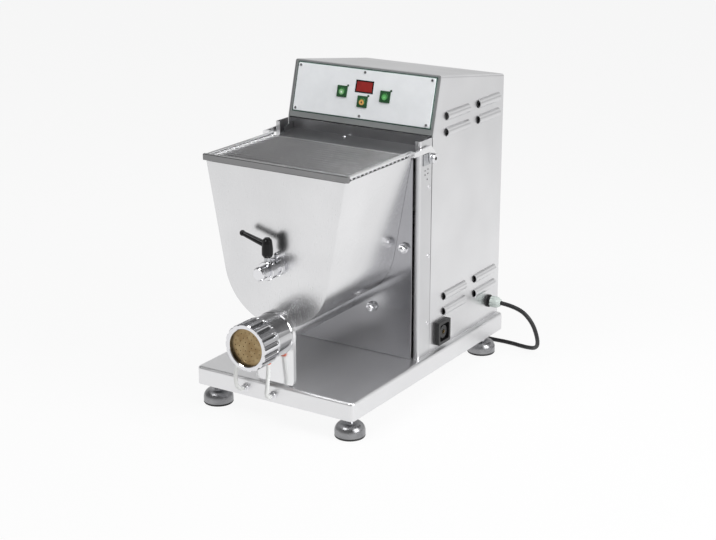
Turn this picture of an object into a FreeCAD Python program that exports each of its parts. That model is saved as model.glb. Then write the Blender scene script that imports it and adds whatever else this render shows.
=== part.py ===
import FreeCAD, Part
import math
import os

# Countertop pasta extruder: a mixing tank with a hinged wire guard in front of a slanted-panel
# housing, and under the tank an auger that pushes the dough out through a die in a ring nut.
#
# Lengths are millimetres. Shapes are drawn from the machine datum: x = 0 is the middle plane,
# y = 0 is the front face of the polished front plate, z = 0 is the top of the base tray.
# Saving moves them so that the finished part stands on z = 0, centred on its own box.

V = FreeCAD.Vector
X_AXIS = V(1, 0, 0)
Y_AXIS = V(0, 1, 0)
Z_AXIS = V(0, 0, 1)

# Tank and housing, whose half width the guard, the panel and the tray follow
tank_r = 115.0              # outside of the round lower part of the tank
tank_side_room = 48.0       # side of the tank to the side of the housing
housing_half = tank_r + tank_side_room
housing_back = 334.0
housing_sheet = 1.5
cover_seam = 51.0           # front edge of the cover sides
panel_low_y = 53.0
panel_low_z = 429.0
panel_top_y = 82.5
panel_top_z = 538.0
roof_back_z = 500.0
roof_edge_r = 5.0
strip_front = 8.0           # front face of the strips beside the front plate
strip_width = 11.0
strip_fold_r = 5.0
strip_gap = 2.0             # foot of the panel to the top of the strips
strip_inner_x = housing_half - strip_width
strip_top_z = panel_low_z - strip_gap
front_plate_t = 2.0
front_plate_gap = 1.0
front_plate_half = strip_inner_x - front_plate_gap
front_plate_top = 393.0
ledge_back_z = 408.0
ledge_front_z = 402.0
ledge_fold = 3.0
ledge_tab_length = 30.0     # folded tabs at both ends of the ledge
ledge_tab_height = 13.0

# Base tray and feet
base_overhang = 12.5        # tray beyond each side of the housing
base_front = 244.0          # front of the tray, ahead of the front plate
base_behind = 3.0           # tray behind the back of the housing
base_height = 35.0
base_sheet = 2.5
base_corner_r = 9.0
base_edge_r = 5.0
base_lip = 18.0             # inward return at the bottom of the tray
base_width = 2 * (housing_half + base_overhang)
base_back = housing_back + base_behind
foot_height = 43.0          # floor to the underside of the tray
foot_inset_x = 26.0
foot_inset_front = 32.0
foot_inset_back = 45.0
foot_bell_r = 28.5
foot_bell_top_r = 12.0
foot_bell_h = 24.0
foot_pad_h = 4.0
foot_neck_r = 8.0
foot_stud_r = 5.0
foot_plate_size = 54.0
foot_plate_t = 4.0

# Louvres pressed out of the cover sides
louvre_length = 84.0
louvre_height = 19.0
louvre_proud = 7.0
louvre_columns = (145.0, 270.0)
louvre_rows = (70.0, 101.0, 427.0, 458.0)

# Control panel
fascia_inset = 10.0         # each side of the housing to the edge of the fascia
fascia_height = 92.0
fascia_t = 2.0
fascia_corner_r = 3.0
fascia_centre = 60.0        # up the slope from the foot of the panel
fascia_width = 2 * (housing_half - fascia_inset)
gasket_margin = 2.5
gasket_t = 1.2
display_width = 40.0
display_height = 24.0
display_x = 2.4
display_up = 74.5
display_border = 2.5
bezel_size = 22.0
bezel_proud = 2.0
bezel_corner_r = 1.5
button_r = 7.0
button_travel = 2.0
button_gap = 0.3
button_chamfer = 0.8
button_spots = ((-45.7, 61.0), (2.2, 46.0), (50.5, 60.7))
led_r = 2.0
led_aside = 0.6
led_above = 1.2
panel_screw_r = 2.8
panel_screw_inset_x = 6.0
panel_screw_inset_up = 4.3
board_width = 150.0
board_height = 78.0
board_t = 1.6
board_stand = 11.4          # panel sheet to the face of the board
relay_size = 16.0
relay_height = 24.0

# Tank walls, mixer and auger
tank_front = 227.0          # outer face of the front wall, ahead of the front plate
tank_gap = 0.5
tank_wall = 2.0
tank_rim_z = 400.0
tank_rim_inset = 13.0       # each side of the housing to the rim of the tank
mixer_z = 223.0
auger_z = 97.0
trough_bore_r = 21.5
trough_wall = 2.0
mixer_shaft_r = 11.0
auger_shaft_r = 9.0
auger_flight_r = 21.0
auger_pitch = 38.0
auger_flight_t = 3.5
auger_tail = 60.0            # behind the auger's gear, into the gearbox
running_fit = 0.05
slide_gap = 0.4              # air between pieces that move past each other
tank_rim_half = housing_half - tank_rim_inset
paddle_clearance = 4.0       # tips of the paddles to the flight of the auger
paddle_reach = mixer_z - auger_z - auger_flight_r - paddle_clearance
paddle_height = 42.0
paddle_count = 5
paddle_t = 5.0
paddle_twist = 28.0

# Gears that turn the mixer at half the auger's speed
gear_module = 3.0
auger_teeth = 28
gear_width = 16.0
gear_y = 22.0
gear_backlash = 0.5
pressure_angle = math.radians(20)

# Extrusion head on an arched plate that stands on the tray
support_half = 42.5
support_t = 8.0
support_corner_r = 11.0
head_body_r = 41.0
head_body_front = 275.5
spigot_r = 39.0
spigot_front = 304.5
die_seat_gap = 0.4
die_r = 38.4
die_t = 12.0
die_hole_r = 0.9
die_ring_count = 3
die_ring_pitch = 9.0
nut_r = 44.5
nut_front = 324.0
nut_back = 277.0
nut_mouth_r = 35.3
nut_lip_r = 1.5
nut_flutes = 18
nut_flute_r = 5.5
nut_flute_depth = 2.4
nut_flute_length = 38.0

# Front bearing of the mixer and its clamp lever
boss_flange_r = 18.0
boss_flange_t = 5.0
boss_neck_r = 12.5
collar_r = 17.5
collar_back = 243.0
collar_front = 258.0
pin_r = 8.0
pin_reach = 28.0            # how far the pin enters the hollow end of the mixer shaft
knob_r = 12.0
knob_front = 281.0
locator_r = 5.5
locator_length = 11.0
locator_x = 9.0
locator_rise = 26.0
lever_y = 251.0
lever_hub_low = 248.0
lever_hub_high = 282.0
lever_hub_r = 10.3
lever_root_r = 6.3
lever_arm = 56.0
lever_rise = 15.0
lever_tip_r = 5.5
lever_cap_r = 5.0
lever_cap_proud = 2.0
lever_cap_depth = 4.0

# Guard grid and its hinge
guard_front = 229.0
guard_overhang = 3.0        # side rails beyond the rim of the tank
guard_lift = 5.0            # rods above the rim of the tank
guard_rod_r = 2.0
guard_rod_pitch = 13.64
guard_rail_r = 3.5
guard_back = 20.0
guard_bar_t = 7.0
guard_bar_low = 4.0
guard_bar_high = 7.8
guard_half = tank_rim_half + guard_overhang
guard_z = tank_rim_z + guard_lift
arm_gap = 2.5               # side of the housing to the inner face of the arms
arm_t = 4.0
arm_half_h = 4.5
arm_reach = 4.0             # before the back of the side rails
arm_eye_r = 9.5
arm_back = 36.0
arm_inner_x = housing_half + arm_gap
hinge_y = 45.0
hinge_drop = 15.0           # rods to the axis of the hinge
hinge_pin_r = 5.0
hinge_cap_r = 10.0
hinge_cap_t = 5.5
hinge_block_half_h = 11.0
hinge_z = guard_z - hinge_drop

# Fastening nuts on the front plate
upper_nut_inset = 16.5      # edge of the front plate to the upper nuts
lower_nut_x = 64.5
upper_nut_drop = 1.0        # below the axis of the mixer
lower_nut_drop = 5.0        # below the axis of the auger
dome_nut_across = 17.0
dome_nut_h = 8.0
dome_r = 7.6
dome_washer_r = 10.5
dome_washer_t = 1.5
plate_stud_r = 4.0
dome_nut_spots = ((front_plate_half - upper_nut_inset, mixer_z - upper_nut_drop),
                  (lower_nut_x, auger_z - lower_nut_drop))

# Bearing plate, gearbox and motor
bearing_r = 21.0
bearing_plate_t = 12.0
bearing_plate_inset = 6.0
bearing_plate_rise = 60.0   # above the axis of the mixer
gearbox_half = 60.0
gearbox_length = 85.0
gearbox_rise = 93.0         # above the axis of the auger
gearbox_foot_half = 85.0
gearbox_foot_t = 10.0
motor_r = 58.0
motor_z = 135.0
motor_back_gap = 30.0
motor_fins = 16
fan_cover_length = 35.0

# Side socket, gland and cord
socket_y = 95.5
socket_z = 31.5
socket_size = 46.0
socket_proud = 9.0
socket_recess = 34.0
socket_core_r = 13.0
gland_y = 293.0
gland_z = 36.0
gland_thread_r = 7.5
gland_dome_r = 11.5
gland_reach = 29.0
cord_r = 4.25

# Cooling hoses
hose_r = 4.0
hose_port_y = 260.0
port_angles = (-86.0, -140.0)
port_r = 6.5
port_length = 6.0
fitting_spots = ((-60.0, -17.5), (2.0, -20.0))
fitting_thread_r = 4.0
fitting_r = 6.0
fitting_washer_r = 7.5

front_plate_y = (nut_front - base_back) / 2.0
base_top_z = base_height + foot_height
floor_z = -base_top_z

os.makedirs("parts", exist_ok=True)


def save(name, *shapes):
    """Write one node, moved from the machine datum to the part's own frame."""
    solids = []
    for shape in shapes:
        solids.extend(shape.Solids)
    whole = solids[0] if len(solids) == 1 else Part.makeCompound(solids)
    whole = whole.copy()
    whole.translate(V(0, front_plate_y, base_top_z))
    whole.exportStep("parts/" + name + ".step")


def block(x0, x1, y0, y1, z0, z1):
    return Part.makeBox(x1 - x0, y1 - y0, z1 - z0, V(x0, y0, z0))


def rod(radius, start, end):
    """Round bar between two points."""
    start = V(*start)
    end = V(*end)
    return Part.makeCylinder(radius, (end - start).Length, start, end - start)


def hexagon(across, start, end):
    """Hexagonal bar between two points, with the given width across flats."""
    start = V(*start)
    end = V(*end)
    along = end - start
    corners = []
    for i in range(7):
        a = math.radians(60 * i)
        corners.append(V(across / math.sqrt(3) * math.cos(a), across / math.sqrt(3) * math.sin(a), 0))
    prism = Part.Face(Part.makePolygon(corners)).extrude(V(0, 0, along.Length))
    prism.Placement = FreeCAD.Placement(start, FreeCAD.Rotation(Z_AXIS, along))
    return prism


def outline(points, normal):
    """Extrude a closed outline of points by the vector normal."""
    return Part.Face(Part.makePolygon(list(points) + [points[0]])).extrude(normal)


def edges_along(shape, direction, test=lambda middle: True):
    """Straight edges of a shape that run along a direction and pass a test of their middle."""
    found = []
    for edge in shape.Edges:
        if edge.Curve.TypeId != "Part::GeomLine":
            continue
        if abs(edge.tangentAt(edge.FirstParameter).dot(direction)) < 0.999:
            continue
        if test(edge.CenterOfMass):
            found.append(edge)
    return found


def fuse(shapes):
    whole = shapes[0]
    if len(shapes) > 1:
        whole = whole.multiFuse(list(shapes[1:]))
    return whole.removeSplitter()


def cut(shape, tools):
    return shape.cut(Part.makeCompound(list(tools)))


def turned(profile, centre, axis):
    """Solid of revolution: profile is (radius, distance along the axis) pairs."""
    points = [V(r, 0, d) for r, d in profile]
    solid = Part.Face(Part.makePolygon(points + [points[0]])).revolve(V(0, 0, 0), Z_AXIS, 360)
    solid.Placement = FreeCAD.Placement(V(*centre), FreeCAD.Rotation(Z_AXIS, axis))
    return solid


# Base tray: a folded sheet pan, open below, with an inward lip
half_base = base_width / 2.0
tray = block(-half_base, half_base, -base_front, base_back, -base_height, 0)
tray = tray.makeFillet(base_corner_r, edges_along(tray, Z_AXIS))
rim = [e for e in tray.Edges if abs(e.BoundBox.ZMin) < 1e-6 and abs(e.BoundBox.ZMax) < 1e-6]
tray = tray.makeFillet(base_edge_r, rim)
hollow = block(-half_base + base_sheet, half_base - base_sheet, -base_front + base_sheet,
               base_back - base_sheet, -base_height + base_sheet, -base_sheet)
hollow = hollow.makeFillet(base_corner_r - base_sheet, edges_along(hollow, Z_AXIS))
mouth = block(-half_base + base_lip, half_base - base_lip, -base_front + base_lip,
              base_back - base_lip, -base_height - 1, -base_height + base_sheet + 1)
tray_holes = [rod(fitting_thread_r + 0.3, (x, -base_front - 5, z), (x, -base_front + 10, z))
              for x, z in fitting_spots]
save("base_tray", cut(tray, [hollow, mouth] + tray_holes))

# Adjustable feet: a plate in each corner carries a threaded stud, a bell and a rubber pad
foot_x = half_base - foot_inset_x
foot_front_y = -base_front + foot_inset_front
foot_back_y = base_back - foot_inset_back
foot_spots = [(sx * foot_x, y) for y in (foot_front_y, foot_back_y) for sx in (-1, 1)]
bell_top = floor_z + foot_pad_h + foot_bell_h
plate_low = -base_height + base_sheet
plates = []
studs = []
bells = []
pads = []
for x, y in foot_spots:
    outer_reach = half_base - base_sheet - abs(x) - 4.0
    low_x = x - foot_plate_size + outer_reach if x > 0 else x - outer_reach
    plate = block(low_x, low_x + foot_plate_size, y - foot_plate_size / 2, y + foot_plate_size / 2,
                  plate_low, plate_low + foot_plate_t)
    plate_hole = rod(foot_stud_r, (x, y, plate_low - 1), (x, y, plate_low + foot_plate_t + 1))
    plates.append(plate.cut(plate_hole))
    stud = rod(foot_stud_r, (x, y, bell_top - 4), (x, y, plate_low + foot_plate_t + 8))
    neck = rod(foot_neck_r, (x, y, bell_top), (x, y, -base_height))
    studs.append(fuse([stud, neck]))
    bell_low = floor_z + foot_pad_h
    bell = rod(foot_bell_r, (x, y, bell_low), (x, y, bell_top))
    crown = [e for e in bell.Edges if abs(e.BoundBox.ZMin - bell_top) < 0.01]
    bell = bell.makeFillet(min(foot_bell_r - foot_bell_top_r, foot_bell_h - 1), crown)
    bells.append(bell.cut(rod(foot_stud_r, (x, y, bell_top - 5), (x, y, bell_top + 1))))
    pad = [(0, floor_z), (foot_bell_r - 1, floor_z), (foot_bell_r, floor_z + 1.5),
           (foot_bell_r, bell_low), (0, bell_low)]
    pads.append(turned(pad, (x, y, 0), Z_AXIS))
save("foot_plates", *plates)
save("foot_studs", *studs)
save("foot_bells", *bells)
save("foot_pads", *pads)

# Cover: one sheet folded over both sides and the roof, with pressed louvres
side_profile = [V(0, cover_seam, 0), V(0, housing_back, 0), V(0, housing_back, roof_back_z),
                V(0, panel_top_y, panel_top_z), V(0, panel_low_y, panel_low_z)]


def housing_block(half, grow):
    """The housing's outline as a solid of the given half width, its roof lowered by grow."""
    points = [V(-half, p.y, p.z) for p in side_profile]
    points[2] = V(-half, housing_back, roof_back_z - grow)
    points[3] = V(-half, panel_top_y, panel_top_z - grow)
    return outline(points, V(2 * half, 0, 0))


cover_outer = housing_block(housing_half, 0)
slope = V(0, housing_back - panel_top_y, roof_back_z - panel_top_z)
slope.normalize()
cover_outer = cover_outer.makeFillet(roof_edge_r, edges_along(cover_outer, slope))
inner_half = housing_half - housing_sheet
cover_inner = [V(-inner_half, cover_seam - 9, -1), V(-inner_half, housing_back + 1, -1),
               V(-inner_half, housing_back + 1, roof_back_z - housing_sheet),
               V(-inner_half, panel_top_y - 9, panel_top_z - housing_sheet + 1.2),
               V(-inner_half, cover_seam - 9, panel_low_z)]
cover = cover_outer.cut(outline(cover_inner, V(2 * inner_half, 0, 0)))
arch_r = (louvre_height ** 2 / 4.0 + louvre_proud ** 2) / (2 * louvre_proud)


def louvre(side, y, z, radius_less, length):
    """Arched bridge standing out of a cover side, as a solid of circular section."""
    centre_x = side * (housing_half + louvre_proud - arch_r)
    bar = rod(arch_r - radius_less, (centre_x, y - length / 2, z), (centre_x, y + length / 2, z))
    low = housing_half - housing_sheet
    keep = block(low, housing_half + louvre_proud + 1, y - length / 2, y + length / 2,
                 z - louvre_height / 2, z + louvre_height / 2)
    if side < 0:
        keep = keep.mirror(V(0, 0, 0), X_AXIS)
    return bar.common(keep)


bridges = []
slots = []
for side in (-1, 1):
    for y in louvre_columns:
        for z in louvre_rows:
            bridges.append(louvre(side, y, z, 0, louvre_length))
            slots.append(louvre(side, y, z, housing_sheet, louvre_length + 0.02))
cover = cut(fuse([cover] + bridges), slots)
socket_hole = block(housing_half - 5, housing_half + 5, socket_y - socket_size / 2 + 4,
                    socket_y + socket_size / 2 - 4, socket_z - socket_size / 2 + 4,
                    socket_z + socket_size / 2 - 4)
gland_hole = rod(gland_thread_r + 0.2, (housing_half - 5, gland_y, gland_z),
                 (housing_half + 5, gland_y, gland_z))
save("casing_cover", cut(cover, [socket_hole, gland_hole]))

# Back panel with screws into the cover's flanges
back_gap = 0.4
back_foot = 0.5
back_rim_depth = 12.0
back_screw_inset = 20.0
back_screw_rise = 25.0
back_half = housing_half - housing_sheet - back_gap
back_top = roof_back_z - housing_sheet - back_gap - 1.0
back = block(-back_half, back_half, housing_back - housing_sheet, housing_back, back_foot, back_top)
back_rim = block(-back_half, back_half, housing_back - back_rim_depth, housing_back, back_foot, back_top)
back_inside = block(-back_half + housing_sheet, back_half - housing_sheet,
                    housing_back - back_rim_depth - 1, housing_back - housing_sheet,
                    back_foot + housing_sheet, back_top - housing_sheet)
back_panel = fuse([back, back_rim.cut(back_inside)])
back_screws = []
back_rows = (back_screw_rise, back_top / 2, back_top - back_screw_rise)
for sx in (-1, 1):
    for z in back_rows:
        x = sx * (back_half - back_screw_inset)
        head = turned([(0, -8), (2, -8), (2, 0), (4, 0), (3.4, 1.6), (1.8, 2.2), (0, 2.2)],
                      (x, housing_back, z), Y_AXIS)
        back_screws.append(head)
        back_panel = back_panel.cut(rod(2.0, (x, housing_back - 9, z), (x, housing_back + 1, z)))
save("back_panel", back_panel)

# Front strips: an L-folded sheet on each side of the front plate
strips = []
strip_screws = []
strip_screw_y = 43.0
strip_screw_rows = (64.0, 199.0, 334.0)
sensor_holes = ((26.0, 369.0), (26.0, 361.0), (36.5, 370.0), (36.5, 362.0), (34.0, 351.0))
strip_back = cover_seam - 0.5
strip = block(strip_inner_x, housing_half, strip_front, strip_back, 0, strip_top_z)
strip = strip.makeFillet(strip_fold_r, edges_along(
    strip, Z_AXIS, lambda m: m.x > housing_half - 1 and m.y < strip_front + 1))
strip_inside = block(strip_inner_x - 1, housing_half - housing_sheet, strip_front + housing_sheet,
                     strip_back + 1, -1, strip_top_z + 1)
strip_inside = strip_inside.makeFillet(strip_fold_r - housing_sheet, edges_along(
    strip_inside, Z_AXIS, lambda m: m.x > housing_half - 3 and m.y < strip_front + 3))
strip = strip.cut(strip_inside)
notch = block(housing_half - 5, housing_half + 5, 18, strip_back + 1,
              hinge_z - hinge_block_half_h, hinge_z + hinge_block_half_h)
strip_tools = [notch]
for y, z in sensor_holes:
    strip_tools.append(rod(1.6, (housing_half - 5, y, z), (housing_half + 5, y, z)))
for z in strip_screw_rows:
    strip_tools.append(rod(2.0, (housing_half - 5, strip_screw_y, z), (housing_half + 5, strip_screw_y, z)))
    strip_screws.append(turned([(0, -8), (2, -8), (2, 0), (3.8, 0), (3.2, 1.4), (1.8, 2.0), (0, 2.0)],
                               (housing_half, strip_screw_y, z), X_AXIS))
strip = cut(strip, strip_tools)
save("front_strip_right", strip)
save("front_strip_left", strip.mirror(V(0, 0, 0), X_AXIS))
mirrored_screws = [s.mirror(V(0, 0, 0), X_AXIS) for s in strip_screws]
save("casing_screws", *(back_screws + strip_screws + mirrored_screws))

# Front plate with holes for the two shafts and the four studs
plate = block(-front_plate_half, front_plate_half, 0, front_plate_t, 0.5, front_plate_top)
plate_tools = [rod(mixer_shaft_r + 1, (0, -1, mixer_z), (0, 5, mixer_z)),
               rod(trough_bore_r - 4, (0, -1, auger_z), (0, 5, auger_z))]
stud_spots = [(sx * x, z) for x, z in dome_nut_spots for sx in (-1, 1)]
for x, z in stud_spots:
    plate_tools.append(rod(plate_stud_r + 0.3, (x, -1, z), (x, 5, z)))
save("front_plate", cut(plate, plate_tools))

# Ledge between the front plate and the control panel, with a folded tab at each end
ledge_half = housing_half - housing_sheet - 0.5
t = housing_sheet
ledge_line = [V(0, 0, front_plate_top + 0.5), V(0, 0, ledge_front_z - ledge_fold),
              V(0, ledge_fold, ledge_front_z), V(0, cover_seam, ledge_back_z),
              V(0, cover_seam, panel_low_z - 1)]
ledge_under = [V(0, cover_seam + t, panel_low_z - 1), V(0, cover_seam + t, ledge_back_z - t),
               V(0, ledge_fold + 0.5, ledge_front_z - t), V(0, t, ledge_front_z - ledge_fold - 0.5),
               V(0, t, front_plate_top + 0.5)]
ledge = outline([V(-ledge_half, p.y, p.z) for p in ledge_line + ledge_under], V(2 * ledge_half, 0, 0))
ledge_clear = block(strip_inner_x - 1, housing_half + 1, -5, strip_back + 0.3, 0, strip_top_z + 0.5)
ledge_tabs = []
for sx in (-1, 1):
    tab_x = sx * (front_plate_half - t)
    tab_front = cover_seam - ledge_tab_length
    tab_line = [V(tab_x, cover_seam, ledge_back_z - t), V(tab_x, tab_front, ledge_front_z - t),
                V(tab_x, tab_front, ledge_front_z + ledge_tab_height - 3),
                V(tab_x, tab_front + 3, ledge_front_z + ledge_tab_height),
                V(tab_x, cover_seam, ledge_back_z + ledge_tab_height)]
    ledge_tabs.append(outline(tab_line, V(sx * t, 0, 0)))
ledge = cut(ledge, [ledge_clear, ledge_clear.mirror(V(0, 0, 0), X_AXIS)])
save("ledge", fuse([ledge] + ledge_tabs))

# Control panel: a slanted frame sheet, a gasket, the fascia plate and what is set into it
panel_run = V(0, panel_top_y - panel_low_y, panel_top_z - panel_low_z)
panel_slope = panel_run.Length
panel_up = V(panel_run)
panel_up.normalize()
panel_out = panel_up.cross(X_AXIS)
if panel_out.y > 0:
    panel_out = panel_out * -1
panel_foot = V(0, panel_low_y, panel_low_z)


def on_panel(x, up, out=0.0):
    """Point on the control panel: x across, up the slope, out of its face."""
    return panel_foot + X_AXIS * x + panel_up * up + panel_out * out


def panel_slab(x, up, width, height, out_low, out_high, corner=0.0):
    """Slab lying on the control panel, with optional rounded corners."""
    slab = Part.makeBox(width, height, out_high - out_low, V(-width / 2, -height / 2, 0))
    if corner:
        slab = slab.makeFillet(corner, edges_along(slab, Z_AXIS))
    matrix = FreeCAD.Matrix(1, 0, 0, 0, 0, panel_up.y, panel_out.y, 0, 0, panel_up.z, panel_out.z, 0)
    slab.Placement = FreeCAD.Placement(matrix)
    slab.translate(on_panel(x, up, out_low))
    return slab


def panel_rod(radius, x, up, out_low, out_high):
    return rod(radius, tuple(on_panel(x, up, out_low)), tuple(on_panel(x, up, out_high)))


frame_half = housing_half - housing_sheet - 0.4
panel_sink = -1.0
frame_sheet = panel_slab(0, panel_slope / 2 - 0.6, 2 * frame_half, panel_slope - 2.4,
                         panel_sink - housing_sheet, panel_sink)
fascia_low = panel_sink + gasket_t
fascia_high = fascia_low + fascia_t
gasket = panel_slab(0, fascia_centre, fascia_width + 2 * gasket_margin,
                    fascia_height + 2 * gasket_margin, panel_sink, fascia_low,
                    fascia_corner_r + gasket_margin)
fascia = panel_slab(0, fascia_centre, fascia_width, fascia_height, fascia_low, fascia_high,
                    fascia_corner_r)
through_low = panel_sink - housing_sheet - 1
through_high = fascia_high + 1
fascia_tools = [panel_slab(display_x, display_up, display_width, display_height,
                           through_low, through_high)]
bezels = []
leds = []
button_back = panel_sink - housing_sheet - 2.0
button_front = fascia_high + bezel_proud + button_travel - 0.5
for index, (x, up) in enumerate(button_spots):
    hole_size = bezel_size - 4
    fascia_tools.append(panel_slab(x, up, hole_size, hole_size, through_low, through_high))
    bezel = panel_slab(x, up, bezel_size, bezel_size, fascia_high, fascia_high + bezel_proud,
                       bezel_corner_r)
    sleeve = panel_slab(x, up, hole_size, hole_size, panel_sink - housing_sheet, fascia_high)
    bezel = fuse([bezel, sleeve])
    bezels.append(bezel.cut(panel_rod(button_r + button_gap, x, up, through_low, through_high + 3)))
    cap = panel_rod(button_r, x, up, button_back, button_front)
    crown = [e for e in cap.Edges if abs((e.CenterOfMass - on_panel(x, up, button_front)).Length) < 0.1]
    cap = cap.makeChamfer(button_chamfer, crown)
    save("button_" + ("left", "middle", "right")[index], cap)
    led_x = x + bezel_size / 2 + led_aside
    led_up = up + bezel_size / 2 + led_above
    fascia_tools.append(panel_rod(led_r, led_x, led_up, through_low, through_high))
    leds.append(panel_rod(led_r, led_x, led_up, fascia_low, fascia_high + 0.8))
panel_screws = []
screw_across = fascia_width / 2 - panel_screw_inset_x
screw_rise = fascia_height / 2 - panel_screw_inset_up
for sx in (-1, 0, 1):
    for sz in (-1, 1):
        x = sx * screw_across
        up = fascia_centre + sz * screw_rise
        fascia_tools.append(panel_rod(1.5, x, up, through_low, through_high))
        shank = panel_rod(1.5, x, up, through_low, fascia_high)
        head = panel_rod(panel_screw_r, x, up, fascia_high, fascia_high + 1.4)
        panel_screws.append(fuse([shank, head]))
save("panel_frame", cut(frame_sheet, fascia_tools))
save("panel_gasket", cut(gasket, fascia_tools))
save("fascia", cut(fascia, fascia_tools))
save("button_bezels", *bezels)
save("status_leds", *leds)
save("panel_screws", *panel_screws)
display_frame = panel_slab(display_x, display_up, display_width, display_height,
                           panel_sink - housing_sheet - 4, fascia_high + 0.4)
window_width = display_width - 2 * display_border
window_height = display_height - 2 * display_border
window = panel_slab(display_x, display_up, window_width, window_height, fascia_high - 2.0, fascia_high + 1.4)
save("display_bezel", display_frame.cut(window))
save("display_window", panel_slab(display_x, display_up, window_width, window_height,
                                  fascia_high - 2.0, fascia_high))

# Control board behind the panel
board_face = panel_sink - housing_sheet - board_stand
board = panel_slab(0, fascia_centre, board_width, board_height, board_face - board_t, board_face)
standoffs = []
for sx in (-1, 1):
    for sz in (-1, 1):
        x = sx * (board_width / 2 - 6)
        up = fascia_centre + sz * (board_height / 2 - 6)
        standoffs.append(panel_rod(2.5, x, up, board_face, panel_sink - housing_sheet))
relays = [panel_slab(sx * board_width / 4, fascia_centre - board_height / 4, relay_size, relay_height,
                     board_face - board_t - relay_size, board_face - board_t) for sx in (-1, 1)]
save("control_board", fuse([board] + standoffs + relays))

# Tank: a trough of circular section with straight flared walls, welded to the auger trough
tank_back_y = -tank_gap
tangent_span = math.hypot(tank_rim_half, tank_rim_z - mixer_z)
to_rim = math.atan2(tank_rim_z - mixer_z, tank_rim_half)


def tank_section(grow, top_z):
    """Closed wire of the tank's section at y = 0, moved outwards by grow, open top at top_z."""
    r = tank_r + grow
    side = to_rim - math.acos(tank_r / tangent_span)
    tangent = V(r * math.cos(side), 0, mixer_z + r * math.sin(side))
    wall_run = V(math.sin(side), 0, -math.cos(side)) * -1
    climb = (top_z - tangent.z) / wall_run.z
    top = tangent + wall_run * climb
    bottom = V(0, 0, mixer_z - r)
    left = V(-tangent.x, 0, tangent.z)
    top_left = V(-top.x, 0, top.z)
    edges = [Part.Arc(tangent, bottom, left).toShape(), Part.LineSegment(left, top_left).toShape(),
             Part.LineSegment(top_left, top).toShape(), Part.LineSegment(top, tangent).toShape()]
    return Part.Wire(edges)


def tank_prism(grow, top_z, y0, y1):
    face = Part.Face(tank_section(grow, top_z))
    face.translate(V(0, y0, 0))
    return face.extrude(V(0, y1 - y0, 0))


def trough_prism(radius, y0, y1):
    """U-shaped channel section around the auger, open towards the tank."""
    round_part = rod(radius, (0, y0, auger_z), (0, y1, auger_z))
    upright = block(-radius, radius, y0, y1, auger_z, mixer_z - tank_r / 2)
    return fuse([round_part, upright])


wall_in = -tank_front + tank_wall
back_in = tank_back_y - tank_wall
body = fuse([tank_prism(0, tank_rim_z, -tank_front, tank_back_y),
             trough_prism(trough_bore_r + trough_wall, -tank_front, tank_back_y)])
tank_tools = [tank_prism(-tank_wall, tank_rim_z + 1, wall_in, back_in),
              trough_prism(trough_bore_r, wall_in, back_in),
              rod(trough_bore_r, (0, -tank_front - 1, auger_z), (0, wall_in + 1, auger_z)),
              rod(auger_shaft_r + 1, (0, back_in - 1, auger_z), (0, 1, auger_z)),
              rod(mixer_shaft_r + running_fit, (0, back_in - 1, mixer_z), (0, 1, mixer_z)),
              rod(boss_neck_r, (0, -tank_front - 1, mixer_z), (0, wall_in + 1, mixer_z))]
save("tank", cut(body, tank_tools))

# Studs and domed nuts that hold the bearing plate and the front plate together
bearing_plate_y0 = front_plate_t + 0.2
bearing_plate_y1 = bearing_plate_y0 + bearing_plate_t
dome_nuts = []
plate_studs = []
for x, z in stud_spots:
    washer = rod(dome_washer_r, (x, 0, z), (x, -dome_washer_t, z))
    skirt = hexagon(dome_nut_across, (x, -dome_washer_t, z), (x, -dome_nut_h, z))
    dome = Part.makeSphere(dome_r, V(x, -dome_nut_h, z), Y_AXIS * -1)
    dome = dome.common(block(x - 2 * dome_r, x + 2 * dome_r, -dome_nut_h - 2 * dome_r,
                             -dome_nut_h + 0.01, z - 2 * dome_r, z + 2 * dome_r))
    socket = rod(plate_stud_r, (x, 1, z), (x, -dome_nut_h, z))
    dome_nuts.append(cut(fuse([washer, skirt, dome]), [socket]))
    plate_studs.append(rod(plate_stud_r, (x, -dome_nut_h, z), (x, bearing_plate_y1 + 6, z)))
save("dome_nuts", *dome_nuts)
save("plate_studs", *plate_studs)
bearing_plate_half = front_plate_half - bearing_plate_inset
bearing_plate = block(-bearing_plate_half, bearing_plate_half, bearing_plate_y0, bearing_plate_y1, 0.5,
                      mixer_z + bearing_plate_rise)
bearing_plate = cut(bearing_plate,
                    [rod(bearing_r, (0, 0, z), (0, bearing_plate_y1 + 1, z)) for z in (mixer_z, auger_z)]
                    + [rod(plate_stud_r, (x, 0, z), (x, bearing_plate_y1 + 1, z)) for x, z in stud_spots])
save("bearing_plate", bearing_plate)


def bearing(shaft_r, z):
    """Ball bearing as inner and outer race rings with a sealed face between them."""
    half = [(shaft_r + running_fit, 0), (bearing_r, 0), (bearing_r, bearing_plate_t),
            (bearing_r - 3.5, bearing_plate_t), (bearing_r - 4, bearing_plate_t - 1),
            (shaft_r + 4, bearing_plate_t - 1), (shaft_r + 3.5, bearing_plate_t),
            (shaft_r + running_fit, bearing_plate_t)]
    return turned(half, (0, bearing_plate_y0, z), Y_AXIS)


save("shaft_bearings", bearing(mixer_shaft_r, mixer_z), bearing(auger_shaft_r, auger_z))
seal_step = tank_wall + tank_gap
seal_length = seal_step + front_plate_t - 0.2
seal_tip = [(auger_shaft_r + running_fit, 0), (auger_shaft_r + 1, 0), (auger_shaft_r + 1, seal_step),
            (auger_shaft_r + 6, seal_step + 0.1), (auger_shaft_r + 6, seal_length),
            (auger_shaft_r + running_fit, seal_length)]
save("auger_seal", turned(seal_tip, (0, back_in, auger_z), Y_AXIS))

# Gears with involute teeth
axis_gap = mixer_z - auger_z
mixer_teeth = round(2 * axis_gap / gear_module) - auger_teeth


def involute(angle):
    return math.tan(angle) - angle


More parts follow.
